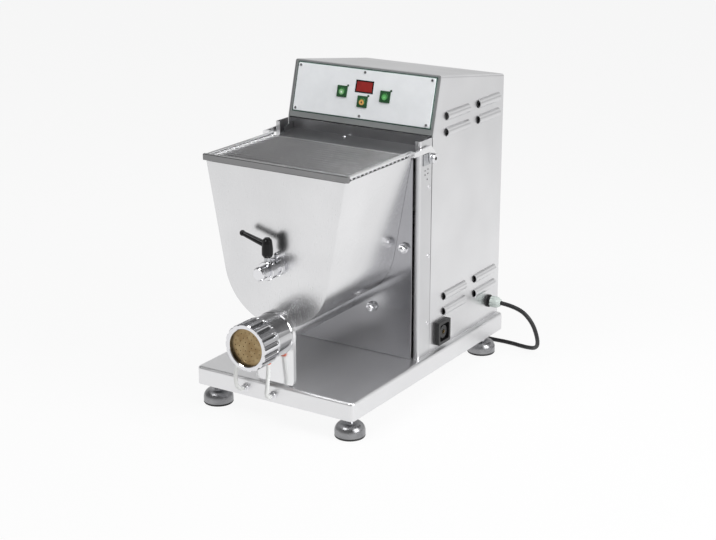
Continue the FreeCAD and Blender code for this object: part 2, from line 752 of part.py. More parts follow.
def gear(teeth, centre_z, phase, bore):
    """Spur gear across the Y axis, its first tooth at the given angle from +X towards +Z."""
    pitch_r = axis_gap * teeth / (auger_teeth + mixer_teeth)
    module = 2 * pitch_r / teeth
    tip_r = pitch_r + module * 0.95
    root_r = pitch_r - module * 1.2
    base_r = pitch_r * math.cos(pressure_angle)
    half_pitch = (math.pi * module / 2 - gear_backlash) / (2 * pitch_r)

    def half_angle(r):
        here = math.acos(min(1.0, base_r / r))
        return half_pitch + involute(pressure_angle) - involute(here)

    points = []
    for i in range(teeth):
        middle = phase + 2 * math.pi * i / teeth
        for r, sign in ((root_r, -1), (pitch_r, -1), (tip_r, -1), (tip_r, 1), (pitch_r, 1), (root_r, 1)):
            a = middle + sign * half_angle(max(r, base_r))
            points.append(V(r * math.cos(a), gear_y, centre_z + r * math.sin(a)))
    wheel = outline(points, V(0, gear_width, 0))
    return wheel.cut(rod(bore, (0, gear_y - 1, centre_z), (0, gear_y + gear_width + 1, centre_z)))


up_angle = math.pi / 2
save("mixer_gear", gear(mixer_teeth, mixer_z, -up_angle, mixer_shaft_r))
save("auger_gear", gear(auger_teeth, auger_z, up_angle + math.pi / auger_teeth, auger_shaft_r))

# Mixer: a shaft with flat paddles, its front end hollow for the bearing pin
mixer_front = -tank_front + tank_wall + 6.0
mixer_back = gear_y + gear_width + 6
shaft = rod(mixer_shaft_r, (0, mixer_front, mixer_z), (0, mixer_back, mixer_z))
pieces = [shaft]
paddle_span = back_in - mixer_front - 30
for i in range(paddle_count):
    y = mixer_front + 18 + paddle_span * i / (paddle_count - 1)
    swing = 360.0 * i / paddle_count
    stem = block(-paddle_t, paddle_t, y - paddle_t, y + paddle_t, mixer_shaft_r - 3,
                 paddle_reach - paddle_height / 2)
    blade_low = paddle_reach - paddle_height
    blade_y = y - paddle_t / 2
    blade = outline([V(-14, blade_y, blade_low), V(14, blade_y, blade_low), V(17, blade_y, paddle_reach - 5),
                     V(9, blade_y, paddle_reach), V(-9, blade_y, paddle_reach),
                     V(-17, blade_y, paddle_reach - 5)], V(0, paddle_t, 0))
    blade.rotate(V(0, y, 0), Z_AXIS, paddle_twist)
    paddle = fuse([stem, blade])
    paddle.translate(V(0, 0, mixer_z))
    paddle.rotate(V(0, 0, mixer_z), Y_AXIS, swing)
    pieces.append(paddle)
mixer = fuse(pieces)
pin_back = mixer_front + pin_reach
mixer = mixer.cut(rod(pin_r + running_fit, (0, mixer_front - 1, mixer_z), (0, pin_back + 0.5, mixer_z)))
save("mixer", mixer)

# Auger: a shaft with a helical flight
auger_front = -spigot_front + 26.0
auger_back = gear_y + gear_width + auger_tail
core = rod(auger_shaft_r, (0, auger_front, auger_z), (0, auger_back, auger_z))
flight_start = auger_front + 6
flight_end = back_in - 8
flight_length = flight_end - flight_start - auger_flight_t
helix = Part.makeHelix(auger_pitch, flight_length, auger_shaft_r)
low_r = auger_shaft_r - 1.0
section = Part.makePolygon([V(low_r, 0, 0), V(auger_flight_r, 0, 0), V(auger_flight_r, 0, auger_flight_t),
                            V(low_r, 0, auger_flight_t), V(low_r, 0, 0)])
flight = Part.Wire(helix).makePipeShell([section], True, True)
flight.rotate(V(0, 0, 0), X_AXIS, -90)
flight.translate(V(0, flight_start, auger_z))
save("auger", fuse([core, flight]))

# Arched plate on the tray: it carries the tank's front end and the extrusion head
support_front = tank_front + support_t
support = block(-support_half, support_half, -support_front, -tank_front, 0, auger_z)
support = support.makeFillet(support_corner_r, edges_along(support, Y_AXIS, lambda m: m.z < 1))
arch = rod(support_half, (0, -support_front, auger_z), (0, -tank_front, auger_z))
support_bore = rod(trough_bore_r, (0, -support_front - 1, auger_z), (0, -tank_front + 1, auger_z))
save("head_support", cut(fuse([support, arch]), [support_bore]))

# Extrusion head: body with hose ports, spigot for the die and ring nut
body_length = head_body_front - support_front
spigot_length = spigot_front - support_front
head_tip = [(trough_bore_r, 0), (head_body_r + 1, 0), (head_body_r, 2.5), (head_body_r, body_length - 1),
            (head_body_r - 1, body_length), (spigot_r, body_length), (spigot_r, spigot_length),
            (die_r - 4, spigot_length), (trough_bore_r, spigot_length - 22)]
head = turned(head_tip, (0, -support_front, auger_z), Y_AXIS * -1)
ports = []
collars = []
port_ends = []
for angle in port_angles:
    a = math.radians(angle)
    way = V(math.cos(a), 0, math.sin(a))
    centre = V(0, -hose_port_y, auger_z)
    collar_start = centre + way * (head_body_r + 3)
    collar_end = collar_start + way * port_length
    ports.append(rod(port_r, tuple(centre + way * (head_body_r - 3)), tuple(collar_start)))
    collar = rod(port_r - 0.8, tuple(collar_start), tuple(collar_end))
    bore = rod(hose_r, tuple(collar_start), tuple(collar_end + way))
    collars.append(collar.cut(bore))
    port_ends.append((collar_start, way))
head = fuse([head] + ports)
save("extrusion_head", head)
save("hose_collars", *collars)

# Die with rings of holes, each ring with six more holes than the one inside it
die_back = -spigot_front - die_seat_gap
die_front = die_back - die_t
die = rod(die_r, (0, die_back, auger_z), (0, die_front, auger_z))
die_tools = []
for ring in range(1, die_ring_count + 1):
    for i in range(6 * ring):
        a = math.radians(60.0 * i / ring)
        x = ring * die_ring_pitch * math.cos(a)
        z = auger_z + ring * die_ring_pitch * math.sin(a)
        die_tools.append(rod(die_hole_r, (x, die_back + 1, z), (x, die_front - 1, z)))
save("die", cut(die, die_tools))

# Ring nut that holds the die on the spigot, with scooped flutes for the hand
seat = -die_front + slide_gap
nut_length = nut_front - nut_back
nut_tip = [(spigot_r + running_fit, 0), (nut_r - nut_lip_r, 0), (nut_r, nut_lip_r),
           (nut_r, nut_length - nut_lip_r), (nut_r - nut_lip_r, nut_length), (nut_mouth_r + 1.2, nut_length),
           (nut_mouth_r, nut_length - 1.2), (nut_mouth_r, seat - nut_back),
           (spigot_r + running_fit, seat - nut_back)]
ring_nut = turned(nut_tip, (0, -nut_back, auger_z), Y_AXIS * -1)
flutes = []
flute_centre = nut_r + nut_flute_r - nut_flute_depth
flute_end = -nut_front + nut_flute_length
for i in range(nut_flutes):
    a = 2 * math.pi * (i + 0.5) / nut_flutes
    x = flute_centre * math.cos(a)
    z = auger_z + flute_centre * math.sin(a)
    flutes.append(rod(nut_flute_r, (x, -nut_front - 1, z), (x, flute_end, z)))
    flutes.append(Part.makeSphere(nut_flute_r, V(x, flute_end, z), Y_AXIS))
save("ring_nut", cut(ring_nut, flutes))

# Front bearing boss on the tank wall, the mixer's pin and the clamp lever
boss_tip = [(pin_r + running_fit, -tank_wall), (boss_neck_r, -tank_wall), (boss_neck_r, 0),
            (boss_flange_r, 0), (boss_flange_r, boss_flange_t - 1), (boss_flange_r - 1, boss_flange_t),
            (boss_neck_r, boss_flange_t), (boss_neck_r, collar_back - tank_front),
            (collar_r - 1, collar_back - tank_front), (collar_r, collar_back - tank_front + 1),
            (collar_r, collar_front - tank_front - 1), (collar_r - 1, collar_front - tank_front),
            (pin_r + running_fit, collar_front - tank_front)]
boss = turned(boss_tip, (0, -tank_front, mixer_z), Y_AXIS * -1)
lever_stud_r = 4.0
stud_low = mixer_z + pin_r + 0.6
stud_bore = rod(lever_stud_r + running_fit, (0, -lever_y, mixer_z + pin_r - 1),
                (0, -lever_y, mixer_z + collar_r + 1))
save("front_boss", boss.cut(stud_bore))
locator = [(0, 0), (locator_r, 0), (locator_r, locator_length - 1.5), (locator_r - 1.5, locator_length),
           (0, locator_length)]
save("locating_stud", turned(locator, (locator_x, -tank_front, mixer_z + locator_rise), Y_AXIS * -1))
pin_tip = [(0, 0), (knob_r - 1.5, 0), (knob_r, 1.5), (knob_r, knob_front - collar_front - 2.3),
           (knob_r - 2, knob_front - collar_front - 0.3), (pin_r, knob_front - collar_front - 0.3),
           (pin_r, knob_front + pin_back - 1), (pin_r - 1, knob_front + pin_back), (0, knob_front + pin_back)]
save("mixer_pin", turned(pin_tip, (0, -knob_front, mixer_z), Y_AXIS))
hub_tip = [(0, lever_hub_low), (lever_hub_r - 3, lever_hub_low), (lever_hub_r, lever_hub_low + 5),
           (lever_hub_r, lever_hub_low + 16), (lever_hub_r - 1, lever_hub_high - 8),
           (lever_hub_r - 2, lever_hub_high - 2), (lever_hub_r - 3.5, lever_hub_high), (0, lever_hub_high)]
hub = turned(hub_tip, (0, -lever_y, 0), Z_AXIS)
rise = math.radians(lever_rise)
arm_start = V(0, -lever_y, lever_hub_high - 12)
arm_way = V(-math.cos(rise), 0, math.sin(rise))
arm = Part.makeCone(lever_root_r, lever_tip_r - 1, lever_arm, arm_start, arm_way)
tip = Part.makeSphere(lever_tip_r, arm_start + arm_way * lever_arm)
lever_body = fuse([hub, arm, tip])
cap_well = lever_cap_proud + lever_cap_depth + slide_gap
stud_grip = 16.0
lever_tools = [rod(lever_cap_r + running_fit, (0, -lever_y, lever_hub_high - cap_well),
                   (0, -lever_y, lever_hub_high + 5)),
               rod(lever_stud_r + running_fit, (0, -lever_y, lever_hub_low - 1),
                   (0, -lever_y, lever_hub_low + stud_grip))]
save("clamp_lever", cut(lever_body, lever_tools))
save("lever_cap", rod(lever_cap_r, (0, -lever_y, lever_hub_high - lever_cap_depth),
                      (0, -lever_y, lever_hub_high + lever_cap_proud)))
stud_collar = rod(6.0, (0, -lever_y, mixer_z + collar_r + 0.4), (0, -lever_y, lever_hub_low - slide_gap))
save("lever_stud", fuse([rod(lever_stud_r, (0, -lever_y, stud_low),
                             (0, -lever_y, lever_hub_low + stud_grip - slide_gap)), stud_collar]))

# Guard: rods across two side rails and a flat front bar, with arms that run back to the hinge
rods = []
first_rod = -guard_back
rod_count = int((guard_front - guard_bar_t - guard_back - guard_rod_r) / guard_rod_pitch) + 1
for i in range(rod_count):
    y = first_rod - i * guard_rod_pitch
    rods.append(rod(guard_rod_r, (-guard_half - 1, y, guard_z), (guard_half + 1, y, guard_z)))
rail_z = guard_z + guard_rail_r + 0.8
grid_parts = []
arms = []
for sx in (-1, 1):
    grid_parts.append(rod(guard_rail_r, (sx * guard_half, -guard_front + 2, rail_z),
                          (sx * guard_half, -guard_back + 5, rail_z)))
    low_x = arm_inner_x if sx > 0 else -arm_inner_x - arm_t
    side_plate = [V(low_x, -guard_back - arm_reach, rail_z - arm_half_h),
                  V(low_x, -guard_back - arm_reach, rail_z + arm_half_h),
                  V(low_x, arm_back, rail_z + arm_half_h + 2.5),
                  V(low_x, hinge_y + arm_eye_r, hinge_z + arm_eye_r - 0.5),
                  V(low_x, hinge_y + arm_eye_r, hinge_z), V(low_x, hinge_y - arm_eye_r, hinge_z),
                  V(low_x, hinge_y - arm_eye_r - 2.5, rail_z - arm_half_h - 0.5)]
    bar_x0 = guard_half + guard_rail_r * 0.6
    bar_x1 = arm_inner_x + arm_t
    bar = block(min(sx * bar_x0, sx * bar_x1), max(sx * bar_x0, sx * bar_x1),
                -guard_back - arm_reach, -guard_back + arm_reach, rail_z - arm_half_h, rail_z + arm_half_h)
    bar = bar.cut(rod(guard_rail_r, (sx * guard_half, -guard_back - 10, rail_z),
                      (sx * guard_half, -guard_back + 10, rail_z)))
    eye = rod(arm_eye_r, (low_x, hinge_y, hinge_z), (low_x + arm_t, hinge_y, hinge_z))
    arm = fuse([outline(side_plate, V(arm_t, 0, 0)), eye, bar])
    pin_hole = rod(hinge_pin_r, (low_x - 1, hinge_y, hinge_z), (low_x + arm_t + 1, hinge_y, hinge_z))
    arms.append(arm.cut(pin_hole))
front_bar = block(-guard_half - guard_rail_r, guard_half + guard_rail_r, -guard_front,
                  -guard_front + guard_bar_t, guard_z - guard_bar_low, guard_z + guard_bar_high)
front_bar = front_bar.makeChamfer(1.0, edges_along(front_bar, X_AXIS))
save("guard_grid", fuse(rods + grid_parts + [front_bar]))
save("guard_arms", *arms)
pins = []
blocks = []
pin_inner = housing_half - 11
for sx in (-1, 1):
    cap_profile = [(2.2, hinge_cap_t), (2.2, hinge_cap_t - 2), (0, hinge_cap_t - 2), (0, 0),
                   (hinge_cap_r - 1, 0), (hinge_cap_r, 1), (hinge_cap_r, hinge_cap_t - 1.5),
                   (hinge_cap_r - 1.5, hinge_cap_t)]
    way = X_AXIS * sx
    cap = turned(cap_profile, (sx * (arm_inner_x + arm_t), hinge_y, hinge_z), way)
    pins.append(fuse([cap, rod(hinge_pin_r, (sx * pin_inner, hinge_y, hinge_z),
                               (sx * (arm_inner_x + arm_t), hinge_y, hinge_z))]))
    hinge_block = block(housing_half - 10, housing_half + 1.8, 18.5, cover_seam - 1,
                        hinge_z - hinge_block_half_h + 0.3, hinge_z + hinge_block_half_h - 0.3)
    if sx < 0:
        hinge_block = hinge_block.mirror(V(0, 0, 0), X_AXIS)
    bore = rod(hinge_pin_r + running_fit, (sx * (housing_half - 12), hinge_y, hinge_z),
               (sx * (housing_half + 5), hinge_y, hinge_z))
    blocks.append(hinge_block.cut(bore))
save("hinge_pins", *pins)
save("hinge_blocks", *blocks)

# Gearmotor on the tray: reduction gearbox with a hollow output shaft, and a finned motor
gearbox_y0 = gear_y + gear_width + 10
gearbox_y1 = gearbox_y0 + gearbox_length
gearbox = block(-gearbox_half, gearbox_half, gearbox_y0, gearbox_y1, gearbox_foot_t - 2,
                auger_z + gearbox_rise)
gearbox = gearbox.makeFillet(10, edges_along(gearbox, Y_AXIS))
foot = block(-gearbox_foot_half, gearbox_foot_half, gearbox_y0 + 5, gearbox_y1 - 5, 0, gearbox_foot_t)
gearbox_bore = rod(auger_shaft_r + running_fit, (0, gearbox_y0 - 1, auger_z), (0, auger_back + 1, auger_z))
save("gearbox", cut(fuse([gearbox, foot]), [gearbox_bore]))
motor_y1 = housing_back - motor_back_gap
cowl_y0 = motor_y1 - fan_cover_length
motor = rod(motor_r, (0, gearbox_y1, motor_z), (0, cowl_y0, motor_z))
fins = []
for i in range(motor_fins):
    fin = block(motor_r - 2, motor_r + 7, gearbox_y1 + 10, cowl_y0 - 10, -1.5, 1.5)
    fin.rotate(V(0, 0, 0), Y_AXIS, 360.0 * i / motor_fins)
    fin.translate(V(0, 0, motor_z))
    fins.append(fin)
fan_cover = rod(motor_r + 6, (0, cowl_y0, motor_z), (0, motor_y1, motor_z))
save("motor", fuse([motor, fan_cover] + fins))

# Side socket for the cutting attachment
socket = block(housing_half, housing_half + socket_proud, socket_y - socket_size / 2,
               socket_y + socket_size / 2, socket_z - socket_size / 2, socket_z + socket_size / 2)
socket = socket.makeFillet(3.0, edges_along(socket, X_AXIS))
half_in = socket_size / 2 - 4.5
inner_body = block(housing_half - 22, housing_half, socket_y - half_in, socket_y + half_in,
                   socket_z - half_in, socket_z + half_in)
half_recess = socket_recess / 2
recess = block(housing_half - 12, housing_half + socket_proud + 1, socket_y - half_recess,
               socket_y + half_recess, socket_z - half_recess, socket_z + half_recess)
recess = recess.makeFillet(4.0, edges_along(recess, X_AXIS))
core = rod(socket_core_r, (housing_half - 12, socket_y, socket_z),
           (housing_half + socket_proud - 3, socket_y, socket_z))
core_hole = rod(5.0, (housing_half - 6, socket_y, socket_z),
                (housing_half + socket_proud + 1, socket_y, socket_z))
save("side_socket", fuse([fuse([socket, inner_body]).cut(recess), core.cut(core_hole)]))

# Cable gland, cord, its coil and plug
gland_tip = [(cord_r, -12), (gland_thread_r, -12), (gland_thread_r, 0), (gland_dome_r + 1.5, 0),
             (gland_dome_r + 1.5, 3), (gland_dome_r - 1, 3), (gland_dome_r - 1, 8), (cord_r, 8)]
gland = turned(gland_tip, (housing_half, gland_y, gland_z), X_AXIS)
save("gland_body", gland)
dome_len = gland_reach - 8
dome_tip = [(cord_r, 8), (gland_dome_r, 8), (gland_dome_r, 8 + dome_len * 0.45),
            (gland_dome_r - 1, 8 + dome_len * 0.7), (gland_dome_r - 3.5, 8 + dome_len * 0.9),
            (gland_dome_r - 6, gland_reach), (cord_r, gland_reach)]
dome_nut = turned(dome_tip, (housing_half, gland_y, gland_z), X_AXIS)
grips = []
for i in range(8):
    a = 2 * math.pi * i / 8
    grips.append(rod(1.6, (housing_half + 8, gland_y + (gland_dome_r + 0.4) * math.cos(a),
                           gland_z + (gland_dome_r + 0.4) * math.sin(a)),
                     (housing_half + 8 + dome_len * 0.4, gland_y + (gland_dome_r + 0.4) * math.cos(a),
                      gland_z + (gland_dome_r + 0.4) * math.sin(a))))
save("gland_nut", cut(dome_nut, grips))


def tube(points, radius):
    """Round tube along straight runs joined by tangent arcs, and the radii of those arcs."""
    points = [V(*p) for p in points]
    runs = [(b - a).Length for a, b in zip(points, points[1:])]
    edges = []
    radii = []
    last = points[0]
    for i in range(1, len(points) - 1):
        back_way = (points[i - 1] - points[i]).normalize()
        on_way = (points[i + 1] - points[i]).normalize()
        turn = math.pi - back_way.getAngle(on_way)
        reach = 0.45 * min(runs[i - 1], runs[i])
        arc_r = reach / math.tan(turn / 2)
        radii.append(round(arc_r, 1))
        start = points[i] + back_way * reach
        end = points[i] + on_way * reach
        inward = (back_way + on_way).normalize()
        centre = points[i] + inward * math.hypot(arc_r, reach)
        middle = centre - inward * arc_r
        edges.append(Part.LineSegment(last, start).toShape())
        edges.append(Part.Arc(start, middle, end).toShape())
        last = end
    edges.append(Part.LineSegment(last, points[-1]).toShape())
    path = Part.Wire(edges)
    way = (points[1] - points[0]).normalize()
    ring = Part.Wire(Part.makeCircle(radius, points[0], way))
    solid = path.makePipeShell([ring], True, True)
    return solid, path, radii


# Route of the cord: out of the gland, down to the floor and round behind the housing
cord_low = floor_z + cord_r + 0.4
cord_route = [(housing_half + gland_reach, gland_y, gland_z), (232, gland_y, 34), (262, 297, 8),
              (270, 311, -34), (256, 336, -64), (224, 352, cord_low), (180, 360, cord_low),
              (134, 357, cord_low), (90, 360, cord_low)]
cord, cord_path, cord_radii = tube(cord_route, cord_r)
print("cord arc radii", cord_radii)
print("cord tube length", round(cord_path.Length, 1), "volume over section",
      round(cord.Volume / (math.pi * cord_r ** 2), 1))
save("power_cord", cord)

# Coil: the turns as one band, with a stub to the cord and another to the plug
coil_r = 50.0
coil_low = floor_z + 0.4
stub_length = 37.0
plug_tail_length = 16.0
plug_body_length = 34.0
plug_width = 35.0
cord_end = V(*cord_route[-1])
arrive = (cord_end - V(*cord_route[-2])).normalize()
across = Z_AXIS.cross(arrive) * -1
touch = cord_end + arrive * stub_length
coil_middle = touch + across * coil_r
band_low = coil_low + 0.2
band_high = coil_low + 4 * cord_r + 0.4
band = turned([(coil_r - 2 * cord_r, band_low), (coil_r + 2 * cord_r, band_low),
               (coil_r + 2 * cord_r, band_high), (coil_r - 2 * cord_r, band_high)],
              (coil_middle.x, coil_middle.y, 0), Z_AXIS)
in_stub = rod(cord_r, tuple(cord_end), tuple(touch + arrive * 2))
leave_side = coil_middle + arrive * coil_r
leave = across
leave_low = V(leave_side.x, leave_side.y, coil_low + 3 * cord_r)
leave_end = leave_low + leave * (coil_r + 2.5 * cord_r)
out_stub = rod(cord_r, tuple(leave_low), tuple(leave_end))
save("cord_coil", fuse([band, in_stub, out_stub]))
plug_tail = [(0, 0), (cord_r + 1.0, 0), (cord_r + 3.5, plug_tail_length), (0, plug_tail_length)]
plug_height = 2 * (leave_end.z - floor_z) - 0.8
body = block(-plug_width / 2, plug_width / 2, plug_tail_length - 1, plug_tail_length + plug_body_length,
             -plug_height / 2, plug_height / 2)
body = body.makeFillet(plug_height / 2.2, edges_along(body, Y_AXIS))
pins = [rod(2.4, (sx * 9.5, plug_tail_length + plug_body_length - 1, 0),
            (sx * 9.5, plug_tail_length + plug_body_length + 19, 0)) for sx in (-1, 1)]
plug = fuse([turned(plug_tail, (0, 0, 0), Y_AXIS), body] + pins)
plug.Placement = FreeCAD.Placement(leave_end, FreeCAD.Rotation(Y_AXIS, leave))
save("plug", plug)

# Cooling hoses from the head's ports down to the fittings on the front of the tray
fittings = []
for x, z in fitting_spots:
    profile = [(0, 8), (fitting_thread_r, 8), (fitting_thread_r, 0), (fitting_washer_r, 0),
               (fitting_washer_r, -2.5), (fitting_r, -3), (fitting_r, -9), (fitting_r - 1, -9.5),
               (hose_r, -9.5), (hose_r, -3), (0, -3)]
    fittings.append(turned(profile, (x, -base_front, z), Y_AXIS))
save("hose_fittings", *fittings)
hose_names = ("hose_right", "hose_left")
hose_middles = (((4.5, -266, 0), (3, -267, -12)),
                ((-64, -262, 36), (-69, -264, 10), (-64, -267, -9)))
for index, (start, way) in enumerate(port_ends):
    x, z = fitting_spots[1 - index]
    route = [tuple(start + way * 0.2), tuple(start + way * 16)] + list(hose_middles[index])
    route += [(x, -base_front - 15, z), (x, -base_front - 3, z)]
    hose, hose_path, hose_radii = tube(route, hose_r - 0.1)
    print(hose_names[index], "radii", hose_radii, "length", round(hose_path.Length, 1))
    save(hose_names[index], hose)
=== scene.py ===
# %% [markdown]
# # A countertop pasta extruder
# The CAD model gives every rigid piece its true shape and place. This lesson dresses it: it sets up
# a camera and soft light, lays the mains cord, models the small pieces that CAD leaves plain, and
# gives each surface a finish made of nodes. All lengths are metres, in the CAD model's own frame.

# %% Load the frame
import bpy
import bmesh
import math
from mathutils import Matrix, Vector


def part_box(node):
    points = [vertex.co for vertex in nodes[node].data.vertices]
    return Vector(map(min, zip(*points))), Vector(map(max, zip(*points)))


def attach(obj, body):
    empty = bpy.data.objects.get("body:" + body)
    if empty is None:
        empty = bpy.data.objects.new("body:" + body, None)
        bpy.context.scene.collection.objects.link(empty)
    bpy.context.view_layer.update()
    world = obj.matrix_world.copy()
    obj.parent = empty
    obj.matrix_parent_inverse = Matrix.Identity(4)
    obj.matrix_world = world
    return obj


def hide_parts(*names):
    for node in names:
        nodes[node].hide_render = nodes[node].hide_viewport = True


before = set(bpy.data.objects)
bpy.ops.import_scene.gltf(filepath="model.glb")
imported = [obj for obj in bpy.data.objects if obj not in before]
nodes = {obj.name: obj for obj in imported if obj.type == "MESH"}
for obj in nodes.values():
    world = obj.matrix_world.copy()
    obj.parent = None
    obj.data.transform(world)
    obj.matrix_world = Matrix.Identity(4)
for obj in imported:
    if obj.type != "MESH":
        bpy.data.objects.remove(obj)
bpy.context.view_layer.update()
print("nodes loaded:", len(nodes))

# %% [markdown]
# ## Two small helpers
# Blender's operators act on whatever is selected, and the CAD pieces come in selected, so each new
# piece starts from an empty selection. The machine's sizes are easier to read in millimetres, so the
# second helper turns them into metres.

# %% Selection and millimetres


def clear_selection():
    """Leave edit mode and select nothing."""
    if bpy.context.object and bpy.context.object.mode != "OBJECT":
        bpy.ops.object.mode_set(mode="OBJECT")
    bpy.ops.object.select_all(action="DESELECT")


def mm(*values):
    """Millimetres to metres, as one number or a vector."""
    return values[0] / 1000 if len(values) == 1 else Vector(values) / 1000


print("8.5 mm is", mm(8.5), "m")

# %% [markdown]
# ## Camera
# A product photo like this is taken from a little above and to the right, with a long lens, so that
# upright edges stay nearly parallel. The place and the lens were solved from the machine's straight
# edges, so the camera is placed by numbers instead of by eye.

# %% Camera
view_azimuth = math.radians(32.4)
view_elevation = math.radians(18.16)
camera_place = (1.5833, -2.4505, 1.1875)
lens_millimetres = 79.71
film_millimetres = 36.0
camera_data = bpy.data.cameras.new("studio_camera")
camera_data.lens = lens_millimetres
camera_data.sensor_width = film_millimetres
camera = bpy.data.objects.new("studio_camera", camera_data)
bpy.context.scene.collection.objects.link(camera)
camera.location = camera_place
look = Vector((-math.sin(view_azimuth) * math.cos(view_elevation),
               math.cos(view_azimuth) * math.cos(view_elevation), -math.sin(view_elevation)))
camera.rotation_euler = look.to_track_quat("-Z", "Y").to_euler()
bpy.context.scene.camera = camera
print("camera at", tuple(round(v, 3) for v in camera.location))

# %% [markdown]
# ## Mains cord, from the gland to the floor
# A rubber lead has one smooth line: it leaves the gland straight, sinks to the worktop under its own
# weight and lies there. It could be a swept mesh, but a curve with a few control points is easier to
# lay, and a NURBS curve never makes a corner.

# %% Way of the cord
cord_diameter = mm(8.5)
lying = 4.65
cord_route = [(192, 286.5, 114), (232, 286.5, 112), (262, 290.5, 86), (270, 304.5, 44),
              (256, 329.5, 14), (224, 345.5, lying), (180, 353.5, lying), (134, 350.5, lying),
              (90, 353.5, lying)]
points = [mm(*p) for p in cord_route]
print("points from the gland to the floor:", len(points))

# %% [markdown]
# ## Mains cord, the coil
# The spare length is wound into a coil behind the machine, as for storage. The turns are counted off
# as points on a circle. They lie as an outer and an inner ring on the floor, then the same two on top
# of them, and in its last quarter each turn moves over to the place of the next one.

# %% Coil of the cord
coil_radius = mm(50)
coil_lead_in = mm(37)
arrive = (points[-1] - points[-2]).normalized()
across = Vector((arrive.y, -arrive.x, 0))
coil_middle = points[-1] + arrive * coil_lead_in + across * coil_radius
# Each entry says how many diameters a turn lies inside the outer ring, and how many above the floor.
turn_layout = [(0, 0), (1, 0), (1, 1), (0, 1)]
turn_count = 3.25
points_per_turn = 16
start_angle = math.atan2(-across.y, -across.x)
for step in range(int(points_per_turn * turn_count) + 1):
    turn = step / points_per_turn
    inward, layer = turn_layout[int(turn)]
    if int(turn) < len(turn_layout) - 1:
        step_over = max(0.0, (turn - int(turn)) * 4 - 3)
        inward += (turn_layout[int(turn) + 1][0] - inward) * step_over
        layer += (turn_layout[int(turn) + 1][1] - layer) * step_over
    radius = coil_radius - inward * cord_diameter
    angle = start_angle - 2 * math.pi * turn
    points.append(coil_middle + Vector((math.cos(angle) * radius, math.sin(angle) * radius,
                                        layer * cord_diameter)))
plug_lead = mm(20)
plug_end_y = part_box("plug")[0].y
last = points[-1]
points.append(last + across * plug_lead)
points.append(last + across * (plug_end_y - last.y) / across.y)
print("cord control points:", len(points))

# %% [markdown]
# ## Mains cord, the tube
# The curve gets a round bevel to become a tube. The cord takes the place of the CAD model's stiff
# tube and coil, and rides on the machine.

# %% Tube of the cord


def round_cord(name, line, radius):
    """A smooth round cord that follows control points; the bevel is scaled by the point radius."""
    point_radius = 0.01
    data = bpy.data.curves.new(name, "CURVE")
    data.dimensions = "3D"
    data.bevel_depth = radius / point_radius
    data.bevel_resolution = 6
    data.resolution_u = 8
    data.use_fill_caps = True
    spline = data.splines.new("NURBS")
    spline.points.add(len(line) - 1)
    for point, place in zip(spline.points, line):
        point.co = (*place, 1)
        point.radius = point_radius
    spline.order_u = 3
    spline.use_endpoint_u = True
    piece = bpy.data.objects.new(name, data)
    bpy.context.scene.collection.objects.link(piece)
    return piece


mains_cord = round_cord("mains_cord", points, cord_diameter / 2)
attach(mains_cord, "machine")
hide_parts("power_cord", "cord_coil")
print("tube of the cord:", round(cord_diameter * 1000, 1), "mm thick")

# %% [markdown]
# ## Helpers for node trees
# A material is a small tree of nodes joined by links. The same few steps come back in every tree: it
# is emptied, nodes are added with some values set, and they are linked. Each step becomes a helper, so
# that a finish reads like a short recipe.

# %% Node helpers


def new_material(name):
    """A material with its tree cleared, its tree and its output."""
    material = bpy.data.materials.new(name)
    material.use_nodes = True
    tree = material.node_tree
    tree.nodes.clear()
    output = tree.nodes.new("ShaderNodeOutputMaterial")
    return material, tree, output


def connect(tree, source, target):
    """Join an output to an input."""
    tree.links.new(source, target)


def add_node(tree, kind, **values):
    """A node with some of its properties or inputs set by name."""
    node = tree.nodes.new(kind)
    for key, value in values.items():
        if hasattr(node, key):
            setattr(node, key, value)
        else:
            node.inputs[key.replace("_", " ")].default_value = value
    return node


print("node helpers are ready")

# %% [markdown]
# ## Floor
# The machine stands on a pale studio floor. A plain white floor would need strong lamps to look white,
# and they would bleach the steel. Instead Light Path lets the floor glow a little to the camera and in
# gloss, while for the lamps it stays a pale grey surface that takes a faint shadow.

# %% Floor
floor_size = 40
floor_height = -0.0005
floor_grey = (0.82, 0.82, 0.82, 1)
camera_share = 0.90
gloss_share = 0.74
clear_selection()
bpy.ops.mesh.primitive_plane_add(size=floor_size, location=(0, 0, floor_height))
floor = bpy.context.object
floor.name = "studio_floor"
floor_paint, tree, output = new_material("pale_floor")
path = add_node(tree, "ShaderNodeLightPath")
diffuse = add_node(tree, "ShaderNodeBsdfDiffuse", Color=floor_grey)
glow = add_node(tree, "ShaderNodeEmission", Color=(1, 1, 1, 1), Strength=1.0)
seen = add_node(tree, "ShaderNodeMath", operation="MULTIPLY")
seen.inputs[1].default_value = camera_share
mirrored = add_node(tree, "ShaderNodeMath", operation="MULTIPLY_ADD")
mirrored.inputs[1].default_value = gloss_share
blend = add_node(tree, "ShaderNodeMixShader")
connect(tree, path.outputs["Is Camera Ray"], seen.inputs[0])
connect(tree, path.outputs["Is Glossy Ray"], mirrored.inputs[0])
connect(tree, seen.outputs[0], mirrored.inputs[2])
connect(tree, mirrored.outputs[0], blend.inputs["Fac"])
connect(tree, diffuse.outputs["BSDF"], blend.inputs[1])
connect(tree, glow.outputs["Emission"], blend.inputs[2])
connect(tree, blend.outputs["Shader"], output.inputs["Surface"])
floor.data.materials.append(floor_paint)
print("floor glows to the camera by", camera_share)

# %% [markdown]
# ## Helpers for numbers and colours
# A tone that changes over a wall or a surface needs a number moved onto another range, a colour that
# follows a number, or a mix of two colours. Map Range, Color Ramp and Mix do this, and a helper for
# each sets the node up and links it in one line.

# %% Ranges and colours


